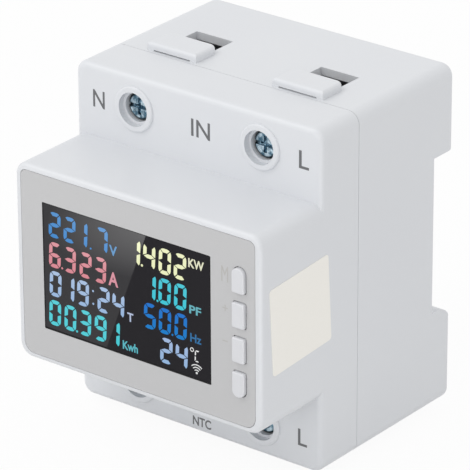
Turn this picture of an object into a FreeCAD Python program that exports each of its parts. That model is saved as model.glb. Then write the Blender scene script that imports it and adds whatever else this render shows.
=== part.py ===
"""Energy meter, four modules wide, for a 35 mm top hat rail: every piece as its own solid, in millimetres.

Frame: the origin is the centre of the rail seat, the flat floor of the channel in the back. +X is to the
right seen from the front, +Y runs back through the rail, and +Z is up. The front faces -Y.
"""
import FreeCAD, Part
import math
import os
import Sketcher

doc = FreeCAD.newDocument("energy_meter")

# Driving dimensions
DIMENSIONS = {
    # The case as a whole, measured from the rail seat
    "case_width": 72.0,
    "case_above": 42.8,
    "case_below": 43.6,
    "seat_depth": 43.4,
    "recess_depth": 7.6,
    "wall": 2.0,
    "case_corner": 3.0,
    "front_round": 1.4,
    "rear_round": 1.3,
    "rear_corner": 3.0,
    "upper_hook_corner": 1.8,
    "lower_hook_corner": 5.5,
    # The parting line between the front cover and the rear base
    "seam_depth": 13.75,
    "seam_gap": 0.12,
    "lip_length": 1.6,
    "lip_wall": 1.1,
    "fit_gap": 0.1,
    # The nose that stands through the cabinet's cover
    "nose_depth": 22.5,
    "nose_half": 24.8,
    "nose_corner_low": 3.7,
    "nose_corner_high": 3.2,
    "nose_round": 1.2,
    "rim_side": 1.7,
    "rim_end": 1.4,
    "plate_thick": 0.6,
    "plate_corner_low": 2.8,
    "plate_corner_high": 1.7,
    # The display and its pane
    "window_width": 49.5,
    "window_height": 32.25,
    "window_shift": -3.15,
    "window_rise": 0.38,
    "window_corner": 0.3,
    "window_lip": 1.2,
    "window_lip_thick": 1.0,
    "panel_margin": 1.4,
    "panel_thick": 2.6,
    "backlight_margin": 0.4,
    # The four keys in a column at the right of the display
    "key_inset": 6.1,
    "key_width": 3.45,
    "key_height": 6.15,
    "key_pitch": 8.65,
    "key_proud": 0.95,
    "key_corner": 0.4,
    "key_arch": 1.6,
    "key_edge": 0.35,
    "key_gap": 0.2,
    "key_lip": 0.6,
    "key_lip_thick": 1.0,
    "key_stem": 2.4,
    "switch_side": 5.2,
    "switch_thick": 2.5,
    "plunger_width": 2.5,
    "plunger_proud": 1.6,
    "plunger_depth": 1.2,
    "switch_base": 0.4,
    # The boards
    "board_thick": 1.6,
    "display_board_back": 11.0,
    "main_board_back": 4.6,
    "main_board_half": 26.0,
    "board_tail_half": 7.0,
    "board_tail_gap": 5.1,
    "display_boss_width": 4.6,
    "display_boss_side_gap": 1.0,
    "display_boss_end_gap": 0.6,
    "board_edge_gap": 0.6,
    "main_boss_width": 6.4,
    "main_boss_bite": 0.3,
    "main_boss_length": 8.0,
    "board_screw_shank": 2.0,
    "board_screw_length": 5.0,
    "board_screw_head": 4.0,
    "board_screw_head_thick": 1.5,
    "board_screw_slot": 0.6,
    "board_screw_slot_length": 2.8,
    "board_screw_slot_depth": 0.7,
    "board_screw_tip_gap": 0.5,
    "screw_clearance": 0.1,
    # The terminals: a ring and bore in the cover, a screw, a rising cage and the wire entry above it
    "terminal_side": 18.4,
    "terminal_inset": 8.2,
    "ring_outer": 11.3,
    "ring_bore": 8.4,
    "ring_proud": 0.6,
    "ring_round": 0.5,
    "ring_depth": 1.75,
    "guide_bore": 7.1,
    "guide_outer": 10.5,
    "head_width": 6.8,
    "head_depth": 1.9,
    "head_thick": 2.6,
    "head_play": 0.3,
    "shank_width": 5.0,
    "shank_gap": 0.05,
    "cross_width": 4.2,
    "cross_arm": 0.9,
    "cross_depth": 1.6,
    "slot_width": 1.0,
    "slot_depth": 0.9,
    "cage_width": 11.4,
    "cage_height": 9.8,
    "cage_side": 1.0,
    "cage_front": 2.2,
    "cage_rear": 1.4,
    "wire_gap": 7.2,
    "busbar_front": 21.0,
    "busbar_thick": 2.0,
    "busbar_width": 8.0,
    "busbar_gap": 0.3,
    "busbar_inset": 3.6,
    "shunt_rise": -7.0,
    "shunt_length": 10.0,
    "shunt_thick": 1.4,
    "blade_length": 12.0,
    "blade_gap": 4.0,
    "sense_pin_width": 1.2,
    "sense_pin_inset": 2.0,
    "chamber_wall": 1.2,
    "chamber_gap": 0.25,
    "chamber_depth": 15.4,
    "chamber_seat_gap": 0.2,
    "chamber_top": 3.4,
    "shank_pass": 5.8,
    # The hoods over the cover's four snap tongues, and the wire entries behind them
    "hood_shift": -0.7,
    "hood_start": 14.8,
    "hood_depth": 8.4,
    "hood_length": 14.5,
    "hood_height": 2.0,
    "hood_skin": 1.0,
    "hood_round": 0.9,
    "hood_corner": 2.0,
    "hood_slit": 0.3,
    "tongue_width": 10.2,
    "tongue_gap": 0.3,
    "tongue_thick": 0.9,
    "tongue_root": 6.0,
    "nub_height": 1.7,
    "nub_length": 3.0,
    "entry_width": 10.9,
    "entry_shift": -0.45,
    "entry_front": 23.4,
    "entry_back": 30.8,
    # The rail channel, its two hooks and its sprung clip
    "channel_above": 21.4,
    "channel_below": 18.5,
    "rail_half": 17.5,
    "rail_gap": 0.2,
    "flange_slot": 1.4,
    "hook_reach": 2.4,
    "hook_side": 17.0,
    "hook_width": 14.0,
    "hook_thick": 3.4,
    "hook_lead": 1.4,
    "clip_width": 20.0,
    "clip_thick": 5.0,
    "clip_spine": 2.0,
    "clip_spine_width": 14.0,
    "clip_gap": 0.2,
    "clip_reach": 2.3,
    "clip_tab": 2.0,
    "notch_width": 6.4,
    "notch_skin": 1.2,
    "notch_height": 3.2,
    "jaw_lead": 1.8,
    "spring_room": 8.8,
    "spring_length": 9.0,
    "spring_width": 7.2,
    "spring_depth": 2.6,
    "spring_strip": 0.6,
    "spring_turns": 6,
    "peg_thick": 2.0,
    "peg_rise": 3.0,
    # The two-pin socket for the temperature probe
    "socket_side": 0.8,
    "socket_width": 7.4,
    "socket_depth": 5.8,
    "socket_height": 7.6,
    "socket_wall": 0.7,
    "socket_base": 1.4,
    "pin_recess": 1.6,
    "socket_recess": 0.5,
    "pin_pitch": 2.5,
    "pin_width": 0.64,
    # The relay behind the line bars: case, magnet system and two contact posts
    "relay_end_gap": 1.0,
    "relay_rise": 4.0,
    "relay_width": 30.0,
    "relay_height": 38.0,
    "relay_bar_gap": 0.8,
    "relay_wall": 1.5,
    "coil_width": 16.0,
    "coil_height": 24.0,
    "coil_post_gap": 0.5,
    "post_width": 5.0,
    "post_reach": 3.4,
    "post_inset": 4.0,
    # Components on the back of the main board: place, size and how far they stand off it
    "transformer_rise": 12.5,
    "transformer_width": 17.0,
    "transformer_height": 15.0,
    "transformer_tall": 13.5,
    "capacitor_side": -5.0,
    "capacitor_rise": -6.0,
    "capacitor_width": 8.0,
    "capacitor_tall": 12.0,
    "fuse_side": 6.5,
    "fuse_rise": -5.0,
    "fuse_width": 6.4,
    "fuse_tall": 9.0,
    "can_edge": 0.6,
    "varistor_side": 5.5,
    "varistor_rise": -15.5,
    "varistor_width": 9.0,
    "varistor_height": 4.0,
    "varistor_tall": 10.5,
    "chip_side": -5.5,
    "chip_rise": -17.0,
    "chip_width": 7.4,
    "chip_height": 6.2,
    "chip_tall": 1.7,
    # The radio module on the display board, and the header between the boards
    "radio_side": -16.0,
    "radio_width": 18.0,
    "radio_height": 24.0,
    "radio_board": 0.8,
    "radio_can_rise": -3.0,
    "radio_can_width": 15.6,
    "radio_can_height": 16.0,
    "radio_can_thick": 2.3,
    "header_side": 8.0,
    "header_pitch": 2.54,
    "header_pins": 8,
    "header_strip": 2.5,
    # The sticker on the right side
    "label_side": 21.9,
    "label_thick": 0.12,
    "label_corner": 0.9,
    "label_turn": 3.5,
    "label_back": 51.4,
    "label_rise": 0.5,
}

sheet = doc.addObject("Spreadsheet::Sheet", "dims")
for row, (alias, value) in enumerate(DIMENSIONS.items(), start=1):
    sheet.set(f"A{row}", alias)
    sheet.set(f"B{row}", str(value))
    sheet.setAlias(f"B{row}", alias)
doc.recompute()


def d(alias):
    """Expression for one driving dimension."""
    return f"dims.{alias}"


def amount(expression):
    """Plain number that an expression over the sheet comes to, in millimetres."""
    result = sheet.evalExpression(str(expression))
    return float(getattr(result, "Value", result))


def both(half):
    """Range that lies evenly about zero."""
    return (f"-({half})", f"({half})")


def around(centre, half):
    """Range that lies evenly about a centre."""
    return (f"({centre}) - ({half})", f"({centre}) + ({half})")


def shrink(span, by):
    """Range drawn in by a clearance at both ends."""
    return (f"{span[0]} + {by}", f"{span[1]} - {by}")


def grow(span, by):
    """Range let out by a clearance at both ends."""
    return (f"{span[0]} - {by}", f"{span[1]} + {by}")


# Places that several pieces share, as expressions over the sheet
HALF_WIDTH = f"{d('case_width')} / 2"
FRONT = f"(-{d('seat_depth')})"
NOSE = f"({FRONT} - {d('nose_depth')})"
NOSE_INSIDE = f"({NOSE} + {d('wall')})"
SEAM = f"({FRONT} + {d('seam_depth')})"
BASE_FRONT = f"({SEAM} + {d('seam_gap')})"
INNER_HALF = f"({HALF_WIDTH} - {d('wall')})"
CASE_HEIGHTS = (f"-{d('case_below')}", d("case_above"))
INNER_HEIGHTS = shrink(CASE_HEIGHTS, d("wall"))
NOSE_INNER_HALF = f"({d('nose_half')} - {d('wall')})"

# How far a cut runs past the face that it opens
PAST = "1"


def behind(distance):
    """Place a distance behind the case's front face."""
    return f"({FRONT} + ({distance}))"


def from_end(end, near, far):
    """Height range between two depths under the case's top (end 1) or bottom (end -1)."""
    if end > 0:
        return (f"{d('case_above')} - ({far})", f"{d('case_above')} - ({near})")
    return (f"-{d('case_below')} + ({near})", f"-{d('case_below')} + ({far})")


# Helpers that build features in a body
PLANES = {"X": "YZ_Plane", "Y": "XZ_Plane", "Z": "XY_Plane"}


def new_body(label):
    """Empty body that may hold several separate solids."""
    body = doc.addObject("PartDesign::Body", label)
    body.Label = label
    body.AllowCompound = True
    return body


def new_sketch(body, name, axis, along):
    """Sketch square to an axis, at the end of the given range from which features are extruded."""
    sketch = body.newObject("Sketcher::SketchObject", name)
    role = PLANES[axis]
    plane = next(item for item in body.Origin.OriginFeatures if item.Role == role)
    sketch.AttachmentSupport = [(plane, "")]
    sketch.MapMode = "FlatFace"
    place = f"-1 * ({along[1]})" if axis == "Y" else along[0]
    sketch.setExpression(".AttachmentOffset.Base.z", place)
    return sketch


def settle(*objects):
    """Work out new objects now, so that later ones can measure them, and mark them as done."""
    for item in objects:
        item.recompute()
        item.purgeTouched()


def bind_constraint(sketch, constraint, name, expression):
    """Add a named dimension to a sketch and bind it to an expression."""
    constraint.Name = name
    sketch.addConstraint(constraint)
    sketch.setExpression(f"Constraints.{name}", expression)


def draw_rectangle(sketch, across, up, low_radius=None, high_radius=None):
    """Rectangle between two ranges; its two lower and its two upper corners may be rounded."""
    left, right, bottom, top = [amount(place) for place in (*across, *up)]
    corners = [(left, bottom), (right, bottom), (right, top), (left, top)]
    inward = [(1, 1), (-1, 1), (-1, -1), (1, -1)]
    radii = [low_radius, low_radius, high_radius, high_radius]
    cuts = [0.0 if radius is None else amount(radius) for radius in radii]
    first = sketch.GeometryCount
    for i in range(4):
        (x0, y0), (x1, y1) = corners[i], corners[(i + 1) % 4]
        length = math.hypot(x1 - x0, y1 - y0)
        ux, uy = (x1 - x0) / length, (y1 - y0) / length
        start = FreeCAD.Vector(x0 + ux * cuts[i], y0 + uy * cuts[i])
        finish = FreeCAD.Vector(x1 - ux * cuts[(i + 1) % 4], y1 - uy * cuts[(i + 1) % 4])
        sketch.addGeometry(Part.LineSegment(start, finish), False)
        sketch.addConstraint(Sketcher.Constraint("Horizontal" if i % 2 == 0 else "Vertical", first + i))
    for i in range(4):
        before, after = first + (i - 1) % 4, first + i
        if radii[i] is None:
            sketch.addConstraint(Sketcher.Constraint("Coincident", before, 2, after, 1))
            continue
        centre = FreeCAD.Vector(corners[i][0] + inward[i][0] * cuts[i], corners[i][1] + inward[i][1] * cuts[i])
        turn = math.pi + i * math.pi / 2
        circle = Part.Circle(centre, FreeCAD.Vector(0, 0, 1), cuts[i])
        arc = sketch.addGeometry(Part.ArcOfCircle(circle, turn, turn + math.pi / 2), False)
        sketch.addConstraint(Sketcher.Constraint("Tangent", before, 2, arc, 1))
        sketch.addConstraint(Sketcher.Constraint("Tangent", arc, 2, after, 1))
        bind_constraint(sketch, Sketcher.Constraint("Radius", arc, cuts[i]), f"corner_{first + i}", radii[i])
    sides = [("left", "DistanceX", 3, left, across[0]), ("right", "DistanceX", 1, right, across[1]),
             ("bottom", "DistanceY", 0, bottom, up[0]), ("top", "DistanceY", 2, top, up[1])]
    for side, kind, line, place, expression in sides:
        constraint = Sketcher.Constraint(kind, -1, 1, first + line, 1, place)
        bind_constraint(sketch, constraint, f"{side}_{first}", expression)


def extrude(body, sketch, name, length, cut):
    """Pad or pocket a sketch towards +X, -Y or +Z, and check that it changed the body."""
    before = body.Tip.Shape.Volume if body.Tip else 0.0
    kind = "PartDesign::Pocket" if cut else "PartDesign::Pad"
    feature = body.newObject(kind, name)
    feature.Profile = sketch
    feature.setExpression("Length", length)
    feature.Reversed = bool(cut)
    feature.Refine = False
    settle(sketch, feature)
    if feature.Shape.isNull():
        raise RuntimeError(f"{body.Label}: {name} failed: {feature.getStatusString()}")
    after = feature.Shape.Volume
    if (after >= before - 1e-6) if cut else (after <= before + 1e-6):
        raise RuntimeError(f"{body.Label}: {name} changed nothing")
    return feature


def prisms(body, name, axis, profiles, along, cut=False):
    """Straight blocks or cut-outs along an axis, each from its ranges across and up and its corner radii."""
    sketch = new_sketch(body, f"{name}_sketch", axis, along)
    for profile in profiles:
        draw_rectangle(sketch, *profile)
    return extrude(body, sketch, name, f"({along[1]}) - ({along[0]})", cut)


def prism(body, name, axis, across, up, along, cut=False, low_radius=None, high_radius=None):
    """One straight block or cut-out along an axis."""
    return prisms(body, name, axis, [(across, up, low_radius, high_radius)], along, cut)


def discs(body, name, axis, centres, diameter, along, cut=False):
    """Round blocks or bores of one diameter along an axis."""
    sketch = new_sketch(body, f"{name}_sketch", axis, along)
    width = amount(diameter)
    for i, (across, up) in enumerate(centres):
        place = FreeCAD.Vector(amount(across), amount(up))
        sketch.addGeometry(Part.Circle(place, FreeCAD.Vector(0, 0, 1), width / 2), False)
        bind_constraint(sketch, Sketcher.Constraint("Diameter", i, width), f"width_{i}", diameter)
        bind_constraint(sketch, Sketcher.Constraint("DistanceX", -1, 1, i, 3, place.x), f"across_{i}", across)
        bind_constraint(sketch, Sketcher.Constraint("DistanceY", -1, 1, i, 3, place.y), f"up_{i}", up)
    return extrude(body, sketch, name, f"({along[1]}) - ({along[0]})", cut)


def disc(body, name, axis, centre, diameter, along, cut=False):
    """One round block or bore along an axis."""
    return discs(body, name, axis, [centre], diameter, along, cut)


def round_edges(body, name, radius, chosen):
    """Fillet the edges of the body's tip for which chosen(edge) is true."""
    tip = body.Tip
    names = [f"Edge{i}" for i, edge in enumerate(tip.Shape.Edges, start=1) if chosen(edge)]
    if not names:
        raise RuntimeError(f"{body.Label}: {name} found no edge")
    fillet = body.newObject("PartDesign::Fillet", name)
    fillet.Base = (tip, names)
    fillet.setExpression("Radius", radius)
    settle(fillet)
    return fillet


def bevel_edges(body, name, size, chosen):
    """Chamfer the edges of the body's tip for which chosen(edge) is true."""
    tip = body.Tip
    names = [f"Edge{i}" for i, edge in enumerate(tip.Shape.Edges, start=1) if chosen(edge)]
    if not names:
        raise RuntimeError(f"{body.Label}: {name} found no edge")
    chamfer = body.newObject("PartDesign::Chamfer", name)
    chamfer.Base = (tip, names)
    chamfer.setExpression("Size", size)
    settle(chamfer)
    return chamfer


def round_long_corner(body, name, rear, height, radius, inward):
    """Round off an edge that runs along X at a rear face, by cutting away what lies outside a quarter circle."""
    span = both(f"{HALF_WIDTH} + {PAST}")
    sketch = new_sketch(body, f"{name}_sketch", "X", span)
    back, level, size = amount(rear), amount(height), amount(radius)
    corner = FreeCAD.Vector(back, level)
    on_face, on_back = FreeCAD.Vector(back - size, level), FreeCAD.Vector(back, level + inward * size)
    centre = FreeCAD.Vector(back - size, level + inward * size)
    face_line = sketch.addGeometry(Part.LineSegment(on_face, corner), False)
    back_line = sketch.addGeometry(Part.LineSegment(corner, on_back), False)
    start = 1.5 * math.pi if inward > 0 else 0.0
    circle = Part.Circle(centre, FreeCAD.Vector(0, 0, 1), size)
    arc = sketch.addGeometry(Part.ArcOfCircle(circle, start, start + math.pi / 2), False)
    first, last = (1, 2) if inward > 0 else (2, 1)
    sketch.addConstraint(Sketcher.Constraint("Horizontal", face_line))
    sketch.addConstraint(Sketcher.Constraint("Vertical", back_line))
    sketch.addConstraint(Sketcher.Constraint("Coincident", face_line, 2, back_line, 1))
    sketch.addConstraint(Sketcher.Constraint("Tangent", face_line, 1, arc, first))
    sketch.addConstraint(Sketcher.Constraint("Tangent", back_line, 2, arc, last))
    bind_constraint(sketch, Sketcher.Constraint("Radius", arc, size), "radius", radius)
    bind_constraint(sketch, Sketcher.Constraint("DistanceX", -1, 1, face_line, 2, back), "rear", rear)
    bind_constraint(sketch, Sketcher.Constraint("DistanceY", -1, 1, face_line, 2, level), "height", height)
    return extrude(body, sketch, name, f"({span[1]}) - ({span[0]})", True)


def lies_at(edge, axis, place):
    """Whether an edge lies wholly at one place along an axis."""
    low, high = getattr(edge.BoundBox, f"{axis}Min"), getattr(edge.BoundBox, f"{axis}Max")
    return abs(low - place) < 1e-3 and abs(high - place) < 1e-3


# The four terminals: name, side (-1 left, 1 right) and end (1 top, -1 bottom)
TERMINALS = [("neutral_in", -1, 1), ("line_in", 1, 1), ("neutral_out", -1, -1), ("line_out", 1, -1)]
TERMINAL_CENTRES = [f"-{d('terminal_side')}", d("terminal_side")]
HOOD_CENTRES = [f"({centre} + {d('hood_shift')})" for centre in TERMINAL_CENTRES]
ENTRY_CENTRES = [f"({centre} + {d('entry_shift')})" for centre in TERMINAL_CENTRES]
ENDS = [("top", 1), ("bottom", -1)]


def terminal_place(side, end):
    """Across and height of a terminal's screw axis."""
    low, high = from_end(end, d("terminal_inset"), d("terminal_inset"))
    return (f"{side} * {d('terminal_side')}", low if end > 0 else high)


TERMINAL_PLACES = [terminal_place(side, end) for _, side, end in TERMINALS]


# The four keys: name, place in the column in pitches from its middle, and which end is arched
KEY_COLUMN = f"({HALF_WIDTH} - {d('key_inset')})"
KEYS = [("mode", 1.5, "high"), ("plus", 0.5, None), ("minus", -0.5, None), ("set", -1.5, "low")]


def key_profile(position, arched, by):
    """Ranges and corner radii of a key's outline, let out by a clearance all round."""
    across = around(KEY_COLUMN, f"{d('key_width')} / 2 + {by}")
    up = around(f"{position} * {d('key_pitch')}", f"{d('key_height')} / 2 + {by}")
    radius = {end: f"{d('key_arch' if arched == end else 'key_corner')} + {by}" for end in ("low", "high")}
    return across, up, radius["low"], radius["high"]


KEY_HOLES = [key_profile(position, arched, d("key_gap")) for _, position, arched in KEYS]
KEY_CENTRES = [(KEY_COLUMN, f"{position} * {d('key_pitch')}") for _, position, _ in KEYS]


# Face plate: a grey sheet bedded in the front of the nose
PLATE_ACROSS = both(f"{HALF_WIDTH} - {d('rim_side')}")
PLATE_UP = both(f"{d('nose_half')} - {d('rim_end')}")
WINDOW_ACROSS = around(d("window_shift"), f"{d('window_width')} / 2")
WINDOW_UP = around(d("window_rise"), f"{d('window_height')} / 2")


def make_face_plate():
    body = new_body("face_plate")
    depth = (NOSE, f"{NOSE} + {d('plate_thick')}")
    gap = d("fit_gap")
    low, high = d("plate_corner_low"), d("plate_corner_high")
    prism(body, "plate_sheet", "Y", shrink(PLATE_ACROSS, gap), shrink(PLATE_UP, gap), depth, False, low, high)
    hole = d("window_corner")
    prism(body, "plate_window", "Y", WINDOW_ACROSS, WINDOW_UP, depth, True, hole, hole)
    prisms(body, "plate_key_holes", "Y", KEY_HOLES, depth, True)
    return body


# Where a terminal screw's head lies between the cover's guide tube and the base's chamber
HEAD_FRONT = behind(d("head_depth"))
HEAD_BACK = f"({HEAD_FRONT} + {d('head_thick')})"
CHAMBER_FRONT = f"({HEAD_BACK} + {d('head_play')})"
GUIDE_END = f"({CHAMBER_FRONT} - {d('chamber_seat_gap')})"


# Boards: their faces along Y, and where the bosses for their four corner screws stand
DISPLAY_BOSS = (f"({INNER_HALF} - {d('display_boss_width')} / 2 - {d('display_boss_side_gap')})",
                f"({NOSE_INNER_HALF} - {d('display_boss_width')} / 2 - {d('display_boss_end_gap')})")
MAIN_BOSS_IN = f"({d('main_boss_width')} / 2 - {d('main_boss_bite')})"
MAIN_BOSS = (f"({INNER_HALF} - {MAIN_BOSS_IN})", f"({NOSE_INNER_HALF} - {MAIN_BOSS_IN})")
DISPLAY_BOARD_BACK = f"({NOSE} + {d('display_board_back')})"
DISPLAY_BOARD_FRONT = f"({DISPLAY_BOARD_BACK} - {d('board_thick')})"
MAIN_BOARD_BACK = behind(d("main_board_back"))
MAIN_BOARD_FRONT = f"({MAIN_BOARD_BACK} - {d('board_thick')})"
BOARD_CORNERS = [(-1, -1), (1, -1), (-1, 1), (1, 1)]
BOARD_ACROSS = both(f"{INNER_HALF} - {d('board_edge_gap')}")
SOCKET_ACROSS = around(d("socket_side"), f"{d('socket_width')} / 2")
SOCKET_ALONG = (MAIN_BOARD_BACK, f"{MAIN_BOARD_BACK} + {d('socket_depth')}")


def corner_places(boss):
    """The four places where a board is screwed to the cover's bosses."""
    return [(f"{side} * {boss[0]}", f"{rise} * {boss[1]}") for side, rise in BOARD_CORNERS]


# Front cover: moulded nose and case front, with rings, guide tubes, bosses and four snap tongues
def add_cover_tongues(body, name, end):
    """Two snap tongues that run back under the base's hoods, with nubs that stand up into them."""
    spans = [around(centre, f"{d('tongue_width')} / 2") for centre in HOOD_CENTRES]
    under = f"{d('wall')} + {d('fit_gap')}"
    low = f"{under} + {d('tongue_thick')}"
    root = (f"{SEAM} - {d('tongue_root')}", f"{SEAM} - {d('lip_length')}")
    heights = from_end(end, f"{d('wall')} - {d('fit_gap')}", low)
    prisms(body, f"{name}_tongue_roots", "Z", [(across, root) for across in spans], heights)
    tongue = (root[0], behind(f"{d('hood_start')} + {d('hood_depth')} - {d('hood_skin')}"))
    prisms(body, f"{name}_tongues", "Z", [(across, tongue) for across in spans], from_end(end, under, low))
    nub_start = behind(f"{d('hood_start')} + {d('hood_skin')} + {d('tongue_gap')}")
    nub = (nub_start, f"{nub_start} + {d('nub_length')}")
    heights = from_end(end, f"{low} - {d('tongue_thick')} / 2 - {d('nub_height')}", low)
    prisms(body, f"{name}_nubs", "Z", [(shrink(across, d("tongue_gap")), nub) for across in spans], heights)


def add_bosses(body, name, boss, width, foot, board_front):
    """Four bosses from their foot to the front of a board, each with a blind pilot for a screw."""
    places = corner_places(boss)
    discs(body, f"{name}_bosses", "Y", places, width, (foot, board_front))
    pilot = f"{d('board_screw_shank')} + 2 * {d('screw_clearance')}"
    bore = (f"{board_front} - {d('board_screw_length')}", f"{board_front} + {PAST}")
    discs(body, f"{name}_pilots", "Y", places, pilot, bore, True)


def make_front_cover():
    body = new_body("front_cover")
    corner = d("case_corner")
    prism(body, "case_front", "Y", both(HALF_WIDTH), CASE_HEIGHTS, (FRONT, SEAM), False, corner, corner)
    front = amount(FRONT)
    round_edges(body, "case_front_round", d("front_round"), lambda edge: lies_at(edge, "Y", front))
    low, high = d("nose_corner_low"), d("nose_corner_high")
    nose_span = (NOSE, behind(d("front_round")))
    prism(body, "nose", "Y", both(HALF_WIDTH), both(d("nose_half")), nose_span, False, low, high)
    nose = amount(NOSE)
    round_edges(body, "nose_round", d("nose_round"), lambda edge: lies_at(edge, "Y", nose))
    ring_front = f"({FRONT} - {d('ring_proud')})"
    discs(body, "rings", "Y", TERMINAL_PLACES, d("ring_outer"), (ring_front, behind(d("wall"))))
    rings = amount(ring_front)
    round_edges(body, "ring_round", d("ring_round"), lambda edge: lies_at(edge, "Y", rings))

    hollow = (behind(d("wall")), f"{SEAM} + {PAST}")
    prism(body, "case_hollow", "Y", both(INNER_HALF), INNER_HEIGHTS, hollow, True)
    hollow = (NOSE_INSIDE, behind(f"{d('wall')} + {PAST}"))
    prism(body, "nose_hollow", "Y", both(INNER_HALF), both(NOSE_INNER_HALF), hollow, True)
    tubes = (behind(f"{d('wall')} / 2"), GUIDE_END)
    discs(body, "guide_tubes", "Y", TERMINAL_PLACES, d("guide_outer"), tubes)
    mouth = (f"{ring_front} - {PAST}", f"{ring_front} + {d('ring_depth')}")
    discs(body, "ring_mouths", "Y", TERMINAL_PLACES, d("ring_bore"), mouth, True)
    bore = (f"{ring_front} - {PAST}", f"{GUIDE_END} + {PAST}")
    discs(body, "guide_bores", "Y", TERMINAL_PLACES, d("guide_bore"), bore, True)

    low, high = d("plate_corner_low"), d("plate_corner_high")
    bed = (f"{NOSE} - {PAST}", f"{NOSE} + {d('plate_thick')}")
    prism(body, "plate_bed", "Y", PLATE_ACROSS, PLATE_UP, bed, True, low, high)
    through = (f"{NOSE} - {PAST}", f"{NOSE_INSIDE} + {PAST}")
    hole = d("window_corner")
    prism(body, "window_hole", "Y", WINDOW_ACROSS, WINDOW_UP, through, True, hole, hole)
    prisms(body, "key_holes", "Y", KEY_HOLES, through, True)

    foot = f"{NOSE_INSIDE} - {d('wall')} / 2"
    add_bosses(body, "display", DISPLAY_BOSS, d("display_boss_width"), foot, DISPLAY_BOARD_FRONT)
    foot = f"{MAIN_BOARD_FRONT} - {d('main_boss_length')}"
    add_bosses(body, "main", MAIN_BOSS, d("main_boss_width"), foot, MAIN_BOARD_FRONT)

    across = grow(SOCKET_ACROSS, d("fit_gap"))
    along = grow(SOCKET_ALONG, d("fit_gap"))
    prism(body, "socket_hole", "Z", across, along, from_end(-1, f"-{PAST}", f"{d('wall')} + {PAST}"), True)
    for name, end in ENDS:
        add_cover_tongues(body, name, end)
    return body


# Boards, and the screws that hold them
def drill_board_screws(body, boss, front, back):
    """Clearance holes for a board's four corner screws."""
    width = f"{d('board_screw_shank')} + 4 * {d('screw_clearance')}"
    discs(body, "screw_holes", "Y", corner_places(boss), width, (front, back), True)


def make_display_board():
    body = new_body("display_board")
    up = both(f"{NOSE_INNER_HALF} - {d('board_edge_gap')}")
    prism(body, "laminate", "Y", BOARD_ACROSS, up, (DISPLAY_BOARD_FRONT, DISPLAY_BOARD_BACK))
    drill_board_screws(body, DISPLAY_BOSS, DISPLAY_BOARD_FRONT, DISPLAY_BOARD_BACK)
    return body


def make_main_board():
    body = new_body("main_board")
    span = (MAIN_BOARD_FRONT, MAIN_BOARD_BACK)
    prism(body, "laminate", "Y", BOARD_ACROSS, both(d("main_board_half")), span)
    tail = around(d("socket_side"), d("board_tail_half"))
    prism(body, "tail", "Y", tail, (f"-{d('case_below')} + {d('board_tail_gap')}", "0"), span)
    drill_board_screws(body, MAIN_BOSS, MAIN_BOARD_FRONT, MAIN_BOARD_BACK)
    return body


def make_board_screws(label, boss, front, back):
    """Four self-tapping pan head screws that hold a board to the cover's bosses."""
    body = new_body(label)
    places = corner_places(boss)
    top = f"({back} + {d('board_screw_head_thick')})"
    discs(body, "heads", "Y", places, d("board_screw_head"), (back, top))
    tip = f"{front} - {d('board_screw_length')} + {d('board_screw_tip_gap')}"
    shank_back = f"{back} + {d('board_screw_head_thick')} / 2"
    discs(body, "shanks", "Y", places, d("board_screw_shank"), (tip, shank_back))
    half_slot, half_length = f"{d('board_screw_slot')} / 2", f"{d('board_screw_slot_length')} / 2"
    slots = [(around(across, half_slot), around(up, half_length)) for across, up in places]
    prisms(body, "drives", "Y", slots, (f"{top} - {d('board_screw_slot_depth')}", top), True)
    return body


# Display: smoked pane, colour panel and backlight
def make_display_window():
    body = new_body("display_window")
    gap = d("fit_gap")
    corner = d("window_corner")
    prism(body, "pane", "Y", shrink(WINDOW_ACROSS, gap), shrink(WINDOW_UP, gap), (NOSE, NOSE_INSIDE), False,
          corner, corner)
    lip = d("window_lip")
    back = (NOSE_INSIDE, f"{NOSE_INSIDE} + {d('window_lip_thick')}")
    prism(body, "lip", "Y", grow(WINDOW_ACROSS, lip), grow(WINDOW_UP, lip), back)
    return body


PANEL_FRONT = f"({NOSE_INSIDE} + {d('window_lip_thick')} + {d('fit_gap')})"
PANEL_BACK = f"({PANEL_FRONT} + {d('panel_thick')})"


def make_lcd_panel():
    body = new_body("lcd_panel")
    margin = d("panel_margin")
    span = (PANEL_FRONT, PANEL_BACK)
    prism(body, "glass", "Y", shrink(WINDOW_ACROSS, margin), shrink(WINDOW_UP, margin), span)
    return body


def make_lcd_backlight():
    body = new_body("lcd_backlight")
    margin = d("backlight_margin")
    span = (PANEL_BACK, DISPLAY_BOARD_FRONT)
    prism(body, "frame", "Y", grow(WINDOW_ACROSS, margin), grow(WINDOW_UP, margin), span)
    return body


# Keys, their switches and the switches' plungers
SWITCH_FRONT = f"({DISPLAY_BOARD_FRONT} - {d('switch_thick')})"
PLUNGER_FRONT = f"({SWITCH_FRONT} - {d('plunger_proud')})"


def make_key(name, position, arched):
    body = new_body(f"button_{name}")
    across, up, low, high = key_profile(position, arched, "0")
    face = f"{NOSE} - {d('key_proud')}"
    lip_front = f"({NOSE_INSIDE} + {d('fit_gap')})"
    prism(body, "cap", "Y", across, up, (face, lip_front), False, low, high)
    front = amount(face)
    round_edges(body, "cap_round", d("key_edge"), lambda edge: lies_at(edge, "Y", front))
    lip = f"{d('key_gap')} + {d('key_lip')}"
    back = f"{lip_front} + {d('key_lip_thick')}"
    prism(body, "lip", "Y", grow(across, lip), grow(up, lip), (lip_front, back))
    centre = (KEY_COLUMN, f"{position} * {d('key_pitch')}")
    disc(body, "stem", "Y", centre, d("key_stem"), (back, PLUNGER_FRONT))
    return body


def make_plunger(name, position):
    body = new_body(f"switch_plunger_{name}")
    centre = (KEY_COLUMN, f"{position} * {d('key_pitch')}")
    span = (PLUNGER_FRONT, f"{SWITCH_FRONT} + {d('plunger_depth')}")
    disc(body, "plunger", "Y", centre, d("plunger_width"), span)
    return body


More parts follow.
